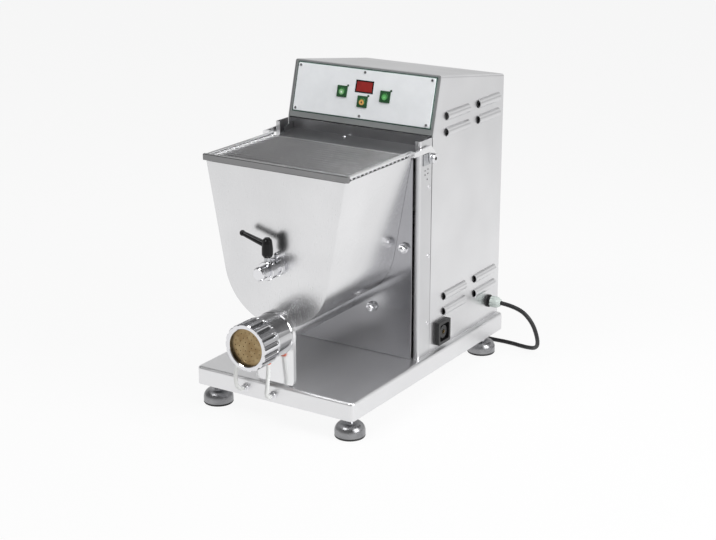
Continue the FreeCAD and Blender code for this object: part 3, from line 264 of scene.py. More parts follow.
def ranged(tree, value, starts, ends, smooth=False):
    """Map a value from one range of numbers onto another."""
    node = tree.nodes.new("ShaderNodeMapRange")
    node.interpolation_type = "SMOOTHSTEP" if smooth else "LINEAR"
    node.inputs["From Min"].default_value = starts[0]
    node.inputs["From Max"].default_value = starts[1]
    node.inputs["To Min"].default_value = ends[0]
    node.inputs["To Max"].default_value = ends[1]
    connect(tree, value, node.inputs["Value"])
    return node.outputs["Result"]


def colour_ramp(tree, value, stops):
    """A colour that follows a value through stops, each a position and a colour."""
    ramp = tree.nodes.new("ShaderNodeValToRGB")
    elements = ramp.color_ramp.elements
    for element, (position, colour) in zip(elements, (stops[0], stops[-1])):
        element.position = position
        element.color = (*colour, 1)
    for position, colour in stops[1:-1]:
        elements.new(position).color = (*colour, 1)
    connect(tree, value, ramp.inputs["Fac"])
    return ramp.outputs["Color"]


def colour_mix(tree, share, first, second):
    """Mix two colours by a share; each is a fixed colour or another node's output."""
    mix = add_node(tree, "ShaderNodeMix", data_type="RGBA")
    for key, colour in (("A", first), ("B", second)):
        if isinstance(colour, tuple):
            mix.inputs[key].default_value = (*colour, 1)
        else:
            connect(tree, colour, mix.inputs[key])
    connect(tree, share, mix.inputs["Factor"])
    return mix.outputs["Result"]


print("helpers for numbers and colours are ready")

# %% [markdown]
# ## Room
# Polished steel shows the room more than itself. The world is a plain room whose walls change tone
# with height: a bright band low on the wall behind the machine gives the steel its soft highlights,
# and the darker ceiling keeps the edges readable. To the camera the room is plain white.

# %% Room
front_tones = [(0.0, 0.40), (0.30, 0.32), (0.60, 0.12), (1.0, 0.05)]
back_tones = [(0.0, 0.45), (0.14, 0.55), (0.30, 0.95), (0.42, 0.85), (0.62, 0.20), (1.0, 0.05)]
front_to_back = (-0.3, 0.5)
world = bpy.data.worlds.new("studio_room")
bpy.context.scene.world = world
world.use_nodes = True
tree = world.node_tree
tree.nodes.clear()
output = tree.nodes.new("ShaderNodeOutputWorld")
place = add_node(tree, "ShaderNodeTexCoord")
split = add_node(tree, "ShaderNodeSeparateXYZ")
connect(tree, place.outputs["Generated"], split.inputs[0])
front_wall, back_wall = (
    colour_ramp(tree, split.outputs["Z"], [(height, (tone, tone, tone)) for height, tone in tones])
    for tones in (front_tones, back_tones))
depth = ranged(tree, split.outputs["Y"], front_to_back, (0, 1), smooth=True)
walls = colour_mix(tree, depth, front_wall, back_wall)
room = add_node(tree, "ShaderNodeBackground", Strength=1.0)
white = add_node(tree, "ShaderNodeBackground", Color=(1, 1, 1, 1), Strength=1.0)
path = add_node(tree, "ShaderNodeLightPath")
blend = add_node(tree, "ShaderNodeMixShader")
connect(tree, walls, room.inputs["Color"])
connect(tree, path.outputs["Is Camera Ray"], blend.inputs["Fac"])
connect(tree, room.outputs["Background"], blend.inputs[1])
connect(tree, white.outputs["Background"], blend.inputs[2])
connect(tree, blend.outputs["Shader"], output.inputs["Surface"])
bpy.context.scene.view_settings.view_transform = "Standard"
print("tones on the walls:", len(front_tones) + len(back_tones))

# %% [markdown]
# ## Lamps
# A studio lights metal with large soft boxes, because a small lamp leaves a hard glint. Area lamps a
# metre or so wide do the same: one in front, one on the right and one above.

# %% Lamps


def soft_lamp(name, place, target, width, height, watts):
    """A broad rectangular lamp that faces a target."""
    data = bpy.data.lights.new(name, "AREA")
    data.shape = "RECTANGLE"
    data.size = width
    data.size_y = height
    data.energy = watts
    lamp = bpy.data.objects.new(name, data)
    bpy.context.scene.collection.objects.link(lamp)
    lamp.location = place
    lamp.rotation_euler = (Vector(target) - Vector(place)).to_track_quat("-Z", "Y").to_euler()
    print(name, "at", watts, "W")


soft_lamp("front_lamp", (-0.7, -1.9, 2.7), (0, 0, 0.3), width=1.0, height=0.8, watts=26)
soft_lamp("right_lamp", (2.4, -0.2, 1.5), (0, 0.1, 0.3), width=1.4, height=1.8, watts=50)
soft_lamp("top_lamp", (0.3, -0.3, 2.6), (0, 0, 0.3), width=1.4, height=1.4, watts=20)

# %% [markdown]
# ## How a finish is made
# Each finish starts from what the real surface is. An image would show its repeats and its edges, so
# noise on the piece's own coordinates is used: stretched along one direction it looks like the grain
# of a brush, and even in all directions like a casting or a moulding. The noise stays near its middle,
# so only that part of its range is spread over the roughness and the tone.

# %% Grain and tone
noise_range = (0.3, 0.7)
dark_stop = 0.32
light_stop = 0.68


def finish_tree(name):
    """A new finish with a Principled shader already joined to its output."""
    material, tree, output = new_material(name)
    shader = tree.nodes.new("ShaderNodeBsdfPrincipled")
    connect(tree, shader.outputs["BSDF"], output.inputs["Surface"])
    return material, tree, shader


def object_noise(tree, scale, detail=3.0, roughness=0.55, shift=(0, 0, 0)):
    """Noise on the piece's own coordinates; scale may differ in each direction to draw a grain."""
    place = tree.nodes.new("ShaderNodeTexCoord")
    mapping = add_node(tree, "ShaderNodeMapping", Location=shift, Scale=scale)
    noise = add_node(tree, "ShaderNodeTexNoise", Scale=1.0, Detail=detail, Roughness=roughness)
    connect(tree, place.outputs["Object"], mapping.inputs["Vector"])
    connect(tree, mapping.outputs["Vector"], noise.inputs["Vector"])
    return noise.outputs["Fac"]


def two_tone(tree, value, dark, light):
    """Blend two close colours by a value."""
    return colour_ramp(tree, value, [(dark_stop, dark), (light_stop, light)])


def raised(tree, shader, value, strength, distance):
    """Let a value raise the surface slightly."""
    bump = add_node(tree, "ShaderNodeBump", Strength=strength, Distance=distance)
    connect(tree, value, bump.inputs["Height"])
    connect(tree, bump.outputs["Normal"], shader.inputs["Normal"])


def dress(material, *names):
    """Give CAD nodes a finish."""
    for name in names:
        piece = nodes[name]
        piece.data.materials.clear()
        piece.data.materials.append(material)
    print(material.name, "on", ", ".join(names))


# %% [markdown]
# ## Two families of surfaces
# Nearly everything on the machine is bare metal or moulded plastic. Bare metal takes its roughness and
# a slight relief from the grain, and its tone from wide soft wipe marks. Plastic and rubber keep an
# even colour and get a very fine grain from the mould, so each family has its own recipe.

# %% Metal and moulding
metal_relief = 0.0004
mould_relief = 0.0003
wipe_shift = (3.1, 1.7, 0.4)
mark_scale = (35, 35, 35)
mark_shift = (0.7, 2.3, 1.1)


def metal(name, dark, light, rough, grain, bump=0.0, wipe=6.0):
    """A bare metal: grain drives roughness and a slight bump, wide soft wipe marks its tone."""
    material, tree, shader = finish_tree(name)
    shader.inputs["Metallic"].default_value = 1.0
    streaks = object_noise(tree, grain, 4.0)
    marks = object_noise(tree, (wipe, wipe, wipe), 2.0, 0.5, wipe_shift)
    connect(tree, ranged(tree, streaks, noise_range, rough), shader.inputs["Roughness"])
    connect(tree, two_tone(tree, marks, dark, light), shader.inputs["Base Color"])
    if bump:
        raised(tree, shader, streaks, bump, metal_relief)
    return material


def moulded(name, dark, light, rough, grain_size=2500.0, bump=0.12, gloss=0.5):
    """A moulded plastic or rubber with fine spark-eroded grain."""
    material, tree, shader = finish_tree(name)
    grain = object_noise(tree, (grain_size,) * 3, 2.0)
    marks = object_noise(tree, mark_scale, 3.0, 0.6, mark_shift)
    connect(tree, ranged(tree, marks, noise_range, rough), shader.inputs["Roughness"])
    connect(tree, two_tone(tree, marks, dark, light), shader.inputs["Base Color"])
    raised(tree, shader, grain, bump, mould_relief)
    shader.inputs["Specular IOR Level"].default_value = gloss
    return material


print("noise between", noise_range, "becomes roughness")

# %% [markdown]
# ## Sheet steel
# The cover, the tray and the panel frame are satin sheet, brushed along their length, so their grain
# is stretched along one axis. The plate behind the tank is closer to a mirror and dark, because it
# shows the dim room in front of it, so its colour is lower and its grain is hardly felt. The panel
# frame and the ledge are the same steel with their colours lowered as painted shade.

# %% Sheet steel
cover_steel = metal("satin_cover_steel", (0.74, 0.74, 0.75), (0.82, 0.82, 0.83), rough=(0.28, 0.34),
                    grain=(1500, 60, 1500), bump=0.02)
# Painted shade: the panel frame's colour is lowered so that it reads darker than the cover.
panel_painted_shade_steel = metal("panel_frame_painted_shade_steel", (0.42, 0.44, 0.44), (0.48, 0.50, 0.50), rough=(0.30, 0.36),
                    grain=(60, 1500, 1500), bump=0.02)
tray_steel = metal("tray_steel", (0.80, 0.80, 0.81), (0.86, 0.86, 0.87), rough=(0.34, 0.42),
                   grain=(60, 1500, 1500), bump=0.02)
support_steel = metal("support_steel", (0.78, 0.78, 0.79), (0.86, 0.86, 0.87), rough=(0.12, 0.18),
                      grain=(1500, 1500, 60), bump=0.004)
plate_steel = metal("mirror_plate_steel", (0.46, 0.46, 0.48), (0.54, 0.54, 0.56), rough=(0.13, 0.17),
                    grain=(1200, 1200, 80), bump=0.005)
# Painted shade: the ledge's colour is lowered so that it reads as a dark band.
ledge_painted_shade_steel = metal("ledge_painted_shade_steel", (0.28, 0.28, 0.29), (0.32, 0.32, 0.33), rough=(0.32, 0.36),
                    grain=(20, 1500, 1500), bump=0.004, wipe=3.0)
strip_steel = metal("strip_steel", (0.66, 0.66, 0.67), (0.72, 0.72, 0.73), rough=(0.30, 0.33),
                    grain=(1500, 1500, 30), bump=0.003)
dress(cover_steel, "casing_cover", "back_panel")
dress(panel_painted_shade_steel, "panel_frame")
dress(tray_steel, "base_tray")
dress(support_steel, "head_support")
dress(plate_steel, "front_plate")
dress(ledge_painted_shade_steel, "ledge")
dress(strip_steel, "front_strip_left", "front_strip_right")

# %% [markdown]
# ## Turned, cast and plated metal
# Polished turned parts are bright and have hardly any grain. The shafts keep the fine rings that the
# tool left, so their grain changes fastest along the axis. Castings have a coarse, even skin and are
# duller. The die is bronze, with small uneven marks.

# %% Turned, cast and plated metal
bright_steel = metal("bright_turned_steel", (0.78, 0.78, 0.80), (0.84, 0.84, 0.86),
                     rough=(0.07, 0.11), grain=(400, 40, 400))
# Painted shade: the extrusion head is the same polished steel with its colour lowered so it reads
# darker.
head_painted_shade_steel = metal("head_painted_shade_steel", (0.52, 0.52, 0.53), (0.60, 0.60, 0.61), rough=(0.08, 0.13),
                   grain=(400, 40, 400))
foot_metal = metal("foot_casting", (0.26, 0.26, 0.27), (0.36, 0.36, 0.37), rough=(0.26, 0.36),
                   grain=(300, 300, 300), bump=0.06, wipe=40.0)
shaft_steel = metal("turned_shaft_steel", (0.60, 0.60, 0.61), (0.68, 0.68, 0.69),
                    rough=(0.18, 0.30), grain=(300, 900, 300), bump=0.05)
zinc_steel = metal("zinc_steel", (0.50, 0.51, 0.53), (0.58, 0.59, 0.60), rough=(0.30, 0.42),
                   grain=(200, 200, 200), bump=0.05)
cast_metal = metal("cast_aluminium", (0.50, 0.50, 0.51), (0.58, 0.58, 0.59), rough=(0.45, 0.60),
                   grain=(350, 350, 350), bump=0.30)
die_bronze = metal("die_bronze", (0.29, 0.20, 0.10), (0.41, 0.31, 0.17), rough=(0.30, 0.42),
                   grain=(900, 900, 900), bump=0.10, wipe=90.0)
dress(bright_steel, "front_boss", "mixer_pin", "locating_stud", "dome_nuts", "hose_fittings",
      "foot_studs", "casing_screws", "panel_screws", "hinge_pins")
dress(head_painted_shade_steel, "extrusion_head")
dress(foot_metal, "foot_bells")
dress(shaft_steel, "mixer", "auger", "mixer_gear", "auger_gear", "shaft_bearings")
dress(zinc_steel, "foot_plates", "plate_studs", "lever_stud", "hinge_blocks")
dress(cast_metal, "gearbox", "motor", "bearing_plate")
dress(die_bronze, "die")

# %% [markdown]
# ## Darker parts of one finish
# On the real machine one piece can be bright in one place and dark in another, where it shows another
# part of the room. A second material would need its own faces. It is simpler to multiply the colour by
# a number worked out from the place on the piece, and two helpers open a finish for that and close it.

# %% Open a finish and scale its colour


def open_finish(material):
    """The tree of a finish, its shader, the colour that reaches it and the piece's coordinates."""
    tree = material.node_tree
    shader = next(node for node in tree.nodes if node.type == "BSDF_PRINCIPLED")
    colour = shader.inputs["Base Color"].links[0].from_socket
    return tree, shader, colour, tree.nodes.new("ShaderNodeTexCoord")


def scale_colour(tree, shader, colour, level):
    """Send the colour to the shader again, multiplied by a level."""
    darker = add_node(tree, "ShaderNodeVectorMath", operation="SCALE")
    connect(tree, colour, darker.inputs[0])
    connect(tree, level, darker.inputs["Scale"])
    connect(tree, darker.outputs["Vector"], shader.inputs["Base Color"])


print("colour helpers are ready")

# %% [markdown]
# ## Guard grid
# The guard is polished wire behind a front bar. The wires are bright and the bar shows a dark part of
# the room, so what lies in front of the bar's back edge is darkened.

# %% Guard grid
front_bar_depth = mm(7.2)
front_bar_fade = mm(0.8)
front_bar_tone = 0.30
wire_steel = metal("guard_wire_steel", (0.86, 0.86, 0.87), (0.93, 0.93, 0.94), rough=(0.20, 0.27),
                   grain=(60, 900, 900), bump=0.02)
dress(wire_steel, "guard_grid", "guard_arms")
tree, shader, colour, where = open_finish(wire_steel)
parts = tree.nodes.new("ShaderNodeSeparateXYZ")
connect(tree, where.outputs["Object"], parts.inputs["Vector"])
bar_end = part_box("guard_grid")[0].y + front_bar_depth
level = ranged(tree, parts.outputs["Y"], (bar_end, bar_end + front_bar_fade), (front_bar_tone, 1))
scale_colour(tree, shader, colour, level)
print("front bar ends at y =", round(bar_end, 4))

# %% [markdown]
# ## Ring nut
# The flutes of the polished nut are deep and get little light, while the ribs between them stay
# bright. The distance from the axis tells the two apart. The front face is left bright.

# %% Ring nut
flute_tone = 0.30
flute_fade = mm(1.2)
rib_margin = mm(0.1)
front_face_depth = mm(1.8)
front_face_fade = mm(0.6)
nut_steel = metal("ring_nut_steel", (0.74, 0.74, 0.76), (0.82, 0.82, 0.84), rough=(0.09, 0.14),
                  grain=(400, 40, 400))
dress(nut_steel, "ring_nut")
nut_low, nut_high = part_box("ring_nut")
nut_axis_z = (nut_low.z + nut_high.z) / 2
rib_radius = (nut_high.x - nut_low.x) / 2 - rib_margin
face_y = nut_low.y + front_face_depth
tree, shader, colour, where = open_finish(nut_steel)
from_axis = add_node(tree, "ShaderNodeMapping", Location=(0, 0, -nut_axis_z), Scale=(1, 0, 1))
reach = add_node(tree, "ShaderNodeVectorMath", operation="LENGTH")
parts = tree.nodes.new("ShaderNodeSeparateXYZ")
connect(tree, where.outputs["Object"], from_axis.inputs["Vector"])
connect(tree, from_axis.outputs["Vector"], reach.inputs[0])
connect(tree, where.outputs["Object"], parts.inputs["Vector"])
in_flute = ranged(tree, reach.outputs["Value"], (rib_radius - flute_fade, rib_radius), (flute_tone, 1))
on_face = ranged(tree, parts.outputs["Y"], (face_y, face_y + front_face_fade), (1, 0))
level = add_node(tree, "ShaderNodeMath", operation="MAXIMUM")
connect(tree, in_flute, level.inputs[0])
connect(tree, on_face, level.inputs[1])
scale_colour(tree, shader, colour, level.outputs["Value"])
print("ribs reach out to", round(rib_radius * 1000, 1), "mm")

# %% [markdown]
# ## Tank
# The tank is brushed upright, and its inner walls are darkened as painted shade. A face belongs to the
# inside when it looks towards a point in the middle of the tank, which the sign of a dot product
# tells.

# %% Tank
# Painted shade: the inner walls keep this share of the steel's colour.
inside_shade_tone = 0.55
tank_steel = metal("tank_steel", (0.76, 0.76, 0.77), (0.84, 0.84, 0.85), rough=(0.23, 0.28),
                   grain=(1500, 1500, 60), bump=0.008)
dress(tank_steel, "tank")
tank_low, tank_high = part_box("tank")
tank_middle = (0, (tank_low.y + tank_high.y) / 2, (tank_low.z + 2 * tank_high.z) / 3)
tree, shader, colour, where = open_finish(tank_steel)
reach = add_node(tree, "ShaderNodeVectorMath", operation="SUBTRACT")
reach.inputs[1].default_value = tank_middle
facing_out = add_node(tree, "ShaderNodeVectorMath", operation="DOT_PRODUCT")
outer = add_node(tree, "ShaderNodeMath", operation="GREATER_THAN")
outer.inputs[1].default_value = 0.0
connect(tree, where.outputs["Object"], reach.inputs[0])
connect(tree, reach.outputs["Vector"], facing_out.inputs[0])
connect(tree, where.outputs["Normal"], facing_out.inputs[1])
connect(tree, facing_out.outputs["Value"], outer.inputs[0])
scale_colour(tree, shader, colour, ranged(tree, outer.outputs["Value"], (0, 1), (inside_shade_tone, 1)))
print("tank middle at", tuple(round(v, 3) for v in tank_middle))

# %% [markdown]
# ## Plastic and rubber
# The lever and the display frame are glossy, the socket, the cord and the foot pads are dull. The
# difference lies in the roughness, so one recipe serves them all.

# %% Plastic and rubber
black_moulding = moulded("black_moulding", (0.006, 0.006, 0.007), (0.014, 0.014, 0.015),
                         rough=(0.32, 0.45))
gloss_black = moulded("gloss_black", (0.003, 0.003, 0.003), (0.006, 0.006, 0.007),
                      rough=(0.16, 0.24), grain_size=1500, bump=0.02, gloss=0.28)
black_rubber = moulded("black_rubber", (0.018, 0.018, 0.018), (0.03, 0.03, 0.03), rough=(0.6, 0.75))
cord_rubber = moulded("cord_rubber", (0.010, 0.010, 0.011), (0.018, 0.018, 0.019),
                      rough=(0.42, 0.55))
gland_nylon = moulded("gland_nylon", (0.52, 0.58, 0.55), (0.60, 0.66, 0.63), rough=(0.40, 0.5))
collar_plastic = moulded("hose_collar_plastic", (0.72, 0.10, 0.03), (0.82, 0.16, 0.05),
                         rough=(0.3, 0.4))
hose_plastic = moulded("hose_plastic", (0.82, 0.83, 0.81), (0.90, 0.91, 0.90), rough=(0.30, 0.40),
                       grain_size=1200, bump=0.03)
dress(black_moulding, "side_socket", "gland_body")
dress(gloss_black, "clamp_lever", "lever_cap", "display_bezel")
dress(black_rubber, "foot_pads", "auger_seal", "plug")
dress(gland_nylon, "gland_nut")
dress(collar_plastic, "hose_collars")
dress(hose_plastic, "hose_left", "hose_right")
mains_cord.data.materials.append(cord_rubber)

# %% [markdown]
# ## Control panel
# The panel is a printed plate in a pale gasket, with a red display window, green surrounds and small
# dark status lamps. Each has one nearly even colour, so the recipe for mouldings gives all of them,
# and the circuit board behind the panel too.

# %% Control panel
gasket_rubber = moulded("gasket_rubber", (0.55, 0.66, 0.62), (0.60, 0.70, 0.66), rough=(0.45, 0.55))
fascia_paint = moulded("fascia_print", (0.86, 0.88, 0.90), (0.90, 0.92, 0.94), rough=(0.32, 0.40),
                       grain_size=3000, bump=0.05)
surround_green = moulded("surround_green", (0.008, 0.062, 0.016), (0.014, 0.090, 0.024),
                         rough=(0.3, 0.4))
board_green = moulded("board_green", (0.01, 0.07, 0.03), (0.02, 0.10, 0.04), rough=(0.4, 0.5))
window_red = moulded("display_red", (0.26, 0.012, 0.010), (0.34, 0.018, 0.014), rough=(0.12, 0.2),
                     grain_size=900, bump=0.02)
light_green = moulded("status_green", (0.006, 0.035, 0.012), (0.010, 0.050, 0.018),
                      rough=(0.2, 0.3), grain_size=900, bump=0.02)
dress(gasket_rubber, "panel_gasket")
dress(fascia_paint, "fascia")
dress(surround_green, "button_bezels")
dress(board_green, "control_board")
dress(window_red, "display_window")
dress(light_green, "status_leds")

# %% [markdown]
# ## Button caps
# Each cap has a small mark, a lit centre and a darker rim. Separate discs would be hardly thicker than
# paint, so the three rings of colour are drawn by the distance from the cap's own middle.

# %% Button caps
mark_edge = (mm(1.4), mm(2.4))
rim_edge = (mm(4.2), mm(6.4))
rim_green = (0.03, 0.17, 0.04)


def button_finish(name, node, mark_colour, centre_colour):
    """Three rings of colour: the mark in the middle, the lit centre and the dark rim."""
    material, tree, shader = finish_tree(name)
    low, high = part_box(node)
    middle = (low + high) / 2
    place = tree.nodes.new("ShaderNodeTexCoord")
    mapping = add_node(tree, "ShaderNodeMapping", Location=(-middle.x, 0, -middle.z), Scale=(1, 0, 1))
    length = add_node(tree, "ShaderNodeVectorMath", operation="LENGTH")
    connect(tree, place.outputs["Object"], mapping.inputs["Vector"])
    connect(tree, mapping.outputs["Vector"], length.inputs[0])
    past_mark = ranged(tree, length.outputs["Value"], mark_edge, (0, 1), smooth=True)
    past_centre = ranged(tree, length.outputs["Value"], rim_edge, (0, 1), smooth=True)
    lit = colour_mix(tree, past_mark, mark_colour, centre_colour)
    connect(tree, colour_mix(tree, past_centre, lit, rim_green), shader.inputs["Base Color"])
    rough = ranged(tree, object_noise(tree, (300, 300, 300)), noise_range, (0.22, 0.32))
    connect(tree, rough, shader.inputs["Roughness"])
    dress(material, node)


button_finish("cap_green_left", "button_left", (0.80, 0.88, 0.78), (0.26, 0.55, 0.24))
button_finish("cap_amber_middle", "button_middle", (0.10, 0.05, 0.02), (0.78, 0.42, 0.12))
button_finish("cap_green_right", "button_right", (0.22, 0.62, 0.22), (0.12, 0.46, 0.13))

# %% [markdown]
# ## Small pieces
# A few visible pieces are too fine for the CAD model. Each starts as a simple form, is cut and pushed
# in edit mode, and is then set on the piece that carries it. Two steps come back for each of them, to
# pick faces by their place or direction and to fix the finished piece, so they are helpers.

# %% Helpers for the small pieces
smooth_angle = math.radians(35)
quarter_turn = math.radians(90)


def settle(piece, name, material, body):
    """Fix a modelled piece in place: no turn or scale left on it, a finish, and a body to ride on."""
    if piece.mode != "OBJECT":
        bpy.ops.object.mode_set(mode="OBJECT")
    bpy.ops.object.transform_apply(location=True, rotation=True, scale=True)
    bpy.ops.object.shade_smooth_by_angle(angle=smooth_angle)
    piece.name = name
    piece.data.materials.append(material)
    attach(piece, body)
    print(name, "faces:", len(piece.data.polygons))


def pick_faces(piece, test):
    """Select the faces that pass a test, in edit mode."""
    bpy.ops.mesh.select_mode(type="FACE")
    bpy.ops.mesh.select_all(action="DESELECT")
    shape = bmesh.from_edit_mesh(piece.data)
    for face in shape.faces:
        if test(face):
            face.select_set(True)
    bmesh.update_edit_mesh(piece.data)


# %% [markdown]
# ## Knurled rings
# The domed nuts stand on toothed washers, and the knob of the pin is knurled for the fingers. A tooth
# pattern could be a bump, but it shows at the outline, so it is cut from a cylinder: every other face
# of its rim is inset and raised. One helper makes the four washers and the knob's ring.

# %% Knurled rings
tooth_inset = 0.16
lip_inset = 0.06
lip_scale = (0.97, 0.97, 1.04)


def knurled_ring(name, centre, radius, depth, teeth, relief, body):
    """A turned ring that faces the front; every other face of its rim stands up as a tooth."""
    clear_selection()
    bpy.ops.mesh.primitive_cylinder_add(vertices=teeth * 2, radius=radius, depth=depth,
                                        location=centre, rotation=(quarter_turn, 0, 0))
    ring = bpy.context.object
    bpy.ops.object.mode_set(mode="EDIT")
    step = math.pi / teeth
    pick_faces(ring, lambda face: abs(face.normal.z) < 0.5 and round(
        math.atan2(face.normal.y, face.normal.x) / step - 0.5) % 2 == 0)
    bpy.ops.mesh.inset(thickness=radius * step * tooth_inset, use_individual=True)
    bpy.ops.transform.shrink_fatten(value=relief)
    pick_faces(ring, lambda face: abs(face.normal.z) > 0.9 and face.calc_area() > radius ** 2)
    bpy.ops.mesh.inset(thickness=radius * lip_inset)
    bpy.ops.transform.resize(value=lip_scale)
    settle(ring, name, bright_steel, body)


washer_stand_off = mm(2.3)
knob_ring_inset = mm(5.0)
nut_places = [("upper", 134.5, 300.0), ("lower", 64.5, 170.0)]
plate_face_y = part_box("front_plate")[0].y
for row, nut_x, nut_z in nut_places:
    for side_name, side in (("left", -1), ("right", 1)):
        knurled_ring(f"nut_ring_{row}_{side_name}",
                     (side * mm(nut_x), plate_face_y - washer_stand_off, mm(nut_z)),
                     radius=mm(10.0), depth=mm(1.6), teeth=24, relief=mm(0.35), body="machine")
pin_low, pin_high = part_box("mixer_pin")
knurled_ring("knob_ring", (0, pin_low.y + knob_ring_inset, (pin_low.z + pin_high.z) / 2),
             radius=mm(12.2), depth=mm(5.0), teeth=18, relief=mm(0.6), body="bearing_pin")

# %% [markdown]
# ## Place on the leaning panel
# The panel leans back, so what sits on it is modelled flat and then set on it by a matrix. Its three
# directions are across, up the panel and out of its face, and its origin is the foot of the panel.

# %% Place on the panel
panel_foot = mm(0, 46.5, 507)
panel_set_back = 29.5
panel_rise = 109.0
panel_middle = 60
panel_lean = math.atan2(panel_set_back, panel_rise)
panel_up = Vector((0, math.sin(panel_lean), math.cos(panel_lean)))
panel_out = Vector((0, -math.cos(panel_lean), math.sin(panel_lean)))
panel_place = Matrix((Vector((1, 0, 0)), panel_up, panel_out)).transposed().to_4x4()
panel_place.translation = panel_foot


def panel_height(node):
    """How far a node's outer face stands out from the foot line of the panel."""
    return max((v.co - panel_foot).dot(panel_out) for v in nodes[node].data.vertices)


print("panel leans back by", round(math.degrees(panel_lean), 1), "degrees")

# %% [markdown]
# ## Border line round the panel
# A thin dark green line runs round the panel where the gasket shows. It could be painted, but a thin
# raised frame keeps a clean edge: a plane is inset, its middle is deleted and the rest is extruded.

# %% Border line
border_width = mm(311.4)
border_height = mm(97.4)
border_line = mm(1.7)
border_thickness = mm(0.5)
border_sink = mm(0.3)
border_green = moulded("border_green", (0.010, 0.050, 0.038), (0.016, 0.066, 0.052),
                       rough=(0.35, 0.45))
clear_selection()
bpy.ops.mesh.primitive_plane_add(size=1)
border = bpy.context.object
bpy.ops.object.mode_set(mode="EDIT")
bpy.ops.transform.resize(value=(border_width, border_height, 1))
bpy.ops.mesh.inset(thickness=border_line)
bpy.ops.mesh.delete(type="FACE")
bpy.ops.mesh.select_all(action="SELECT")
bpy.ops.mesh.extrude_region_move(TRANSFORM_OT_translate={"value": (0, 0, border_thickness)})
bpy.ops.mesh.select_all(action="SELECT")
bpy.ops.mesh.normals_make_consistent(inside=False)
bpy.ops.object.mode_set(mode="OBJECT")
border.matrix_world = panel_place @ Matrix.Translation(
    (0, mm(panel_middle), panel_height("panel_gasket") - border_sink))
settle(border, "panel_border", border_green, "machine")

# %% [markdown]
# ## Cross recesses in the panel screws
# Each panel screw has a cross recess in its head, which is dark with shade. Cutting the heads would
# change the CAD pieces, so a thin black cross lies on each as painted shade: a small grid loses its
# four corners and is extruded. The six crosses are joined into one piece.

# %% Cross recesses
screw_across = 147.0
screw_up = 41.7
cross_span = mm(3.6)
cross_arm_half = mm(0.5)
cross_thickness = mm(0.15)
cross_sink = mm(0.05)
# Painted shade: black stands in for the shade in the recesses of the screws and the hinge caps.
recess_shade_black = moulded("recess_shade_black", (0.004, 0.004, 0.004), (0.008, 0.008, 0.008),
                       rough=(0.5, 0.6))
crosses = []
for across_panel in (-screw_across, 0.0, screw_across):
    for up_panel in (panel_middle - screw_up, panel_middle + screw_up):
        clear_selection()
        bpy.ops.mesh.primitive_grid_add(x_subdivisions=3, y_subdivisions=3, size=cross_span)
        cross = bpy.context.object
        bpy.ops.object.mode_set(mode="EDIT")
        pick_faces(cross, lambda face: abs(face.calc_center_median().x) > cross_arm_half
                   and abs(face.calc_center_median().y) > cross_arm_half)
        bpy.ops.mesh.delete(type="FACE")
        bpy.ops.mesh.select_all(action="SELECT")
        bpy.ops.mesh.extrude_region_move(TRANSFORM_OT_translate={"value": (0, 0, cross_thickness)})
        bpy.ops.object.mode_set(mode="OBJECT")
        cross.matrix_world = panel_place @ Matrix.Translation(
            (mm(across_panel), mm(up_panel), panel_height("panel_screws") - cross_sink))
        bpy.ops.object.transform_apply(location=True, rotation=True, scale=True)
        crosses.append(cross)
clear_selection()
for cross in crosses:
    cross.select_set(True)
bpy.context.view_layer.objects.active = crosses[0]
bpy.ops.object.join()
settle(bpy.context.object, "screw_cross_shades", recess_shade_black, "machine")

# %% [markdown]
# ## Plugs in the hinge caps
# The end of each hinge cap holds a black plug as painted shade for its recess. It is a short cylinder
# whose ends are inset twice, with the middle pushed in a little, and it rides on the guard, as its pin
# does.

# %% Plugs in the hinge caps
cap_plug_radius = mm(3.2)
cap_plug_depth = mm(2.6)
cap_plug_sink = mm(0.9)
cap_plug_steps = (mm(0.7), mm(0.3))
cap_plug_dish = (1, 1, 0.8)
hinge_low, hinge_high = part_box("hinge_pins")
for side_name, side in (("left", -1), ("right", 1)):
    clear_selection()
    bpy.ops.mesh.primitive_cylinder_add(vertices=32, radius=cap_plug_radius, depth=cap_plug_depth,
                                        rotation=(0, quarter_turn, 0),
                                        location=(side * (hinge_high.x - cap_plug_sink),
                                                  (hinge_low.y + hinge_high.y) / 2,
                                                  (hinge_low.z + hinge_high.z) / 2))
    cap_plug = bpy.context.object
    bpy.ops.object.mode_set(mode="EDIT")
    pick_faces(cap_plug, lambda face: abs(face.normal.z) > 0.9)
    for thickness in cap_plug_steps:
        bpy.ops.mesh.inset(thickness=thickness, use_individual=True)
    bpy.ops.transform.resize(value=cap_plug_dish)
    settle(cap_plug, f"hinge_shade_plug_{side_name}", recess_shade_black, "guard_lid")

# %% [markdown]
# ## Screw on the ledge
# One small round-headed screw shines on the dark ledge. A sphere pressed flat and cut in half makes
# the head. A ray sent down onto the ledge finds the height of its seat, so that it can't float.

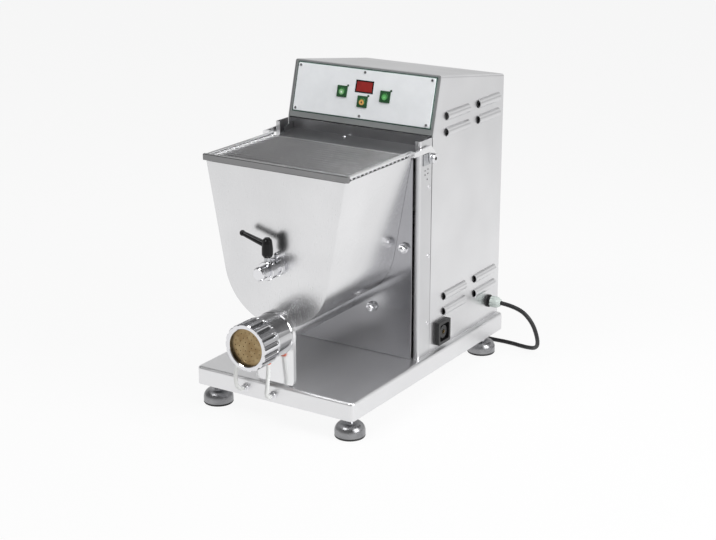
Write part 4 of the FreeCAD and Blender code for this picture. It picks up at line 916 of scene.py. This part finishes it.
# %% Screw on the ledge
ledge_screw_radius = mm(4.2)
ledge_screw_flatness = 0.5
above_screw = Vector((mm(-25.4), mm(36), 1))
seat = nodes["ledge"].ray_cast(above_screw, Vector((0, 0, -1)))[1]
clear_selection()
bpy.ops.mesh.primitive_uv_sphere_add(segments=32, ring_count=16, radius=ledge_screw_radius,
                                     location=seat)
ledge_screw = bpy.context.object
bpy.ops.object.mode_set(mode="EDIT")
bpy.ops.mesh.select_all(action="SELECT")
bpy.ops.transform.resize(value=(1, 1, ledge_screw_flatness))
bpy.ops.mesh.bisect(plane_co=seat, plane_no=(0, 0, 1), clear_inner=True, use_fill=True)
settle(ledge_screw, "ledge_screw", bright_steel, "machine")

# %% [markdown]
# ## Brass contact in the side socket
# A brass sleeve shows deep in the black socket. It is an open tube, and Solidify gives it its wall.

# %% Brass contact
contact_radius = mm(3.25)
contact_depth = mm(10)
contact_wall = mm(0.35)
contact_place = (mm(165), mm(89), mm(109.5))
contact_brass = metal("contact_brass", (0.60, 0.44, 0.18), (0.70, 0.54, 0.26), rough=(0.18, 0.28),
                      grain=(400, 400, 400), bump=0.04)
clear_selection()
bpy.ops.mesh.primitive_cylinder_add(vertices=32, radius=contact_radius, depth=contact_depth,
                                    end_fill_type="NOTHING", rotation=(0, quarter_turn, 0),
                                    location=contact_place)
contact = bpy.context.object
wall = contact.modifiers.new("wall", "SOLIDIFY")
wall.thickness = contact_wall
wall.offset = -1
bpy.ops.object.modifier_apply(modifier="wall")
settle(contact, "socket_contact", contact_brass, "machine")

# %% [markdown]
# ## Tie round the coiled cord
# A rubber tie holds the turns of the coil together. A box is sized to go round two turns beside and
# above each other, and its edges are bevelled, so that it looks like a pulled strap.

# %% Tie round the cord
tie_turn = math.radians(200)
tie_span = mm(17.2)
tie_width = mm(6.0)
tie_round = mm(3.0)
tie_angle = start_angle + tie_turn
tie_middle = coil_middle + Vector((math.cos(tie_angle), math.sin(tie_angle), 0)) * (
    coil_radius - cord_diameter * 0.5) + Vector((0, 0, cord_diameter * 0.5))
clear_selection()
bpy.ops.mesh.primitive_cube_add(size=1, location=tie_middle, rotation=(0, 0, tie_angle))
tie = bpy.context.object
bpy.ops.object.mode_set(mode="EDIT")
bpy.ops.mesh.select_all(action="SELECT")
bpy.ops.transform.resize(value=(tie_span, tie_width, tie_span), orient_type="LOCAL")
bpy.ops.mesh.bevel(offset=tie_round, segments=6, affect="EDGES")
settle(tie, "coil_tie", black_rubber, "machine")
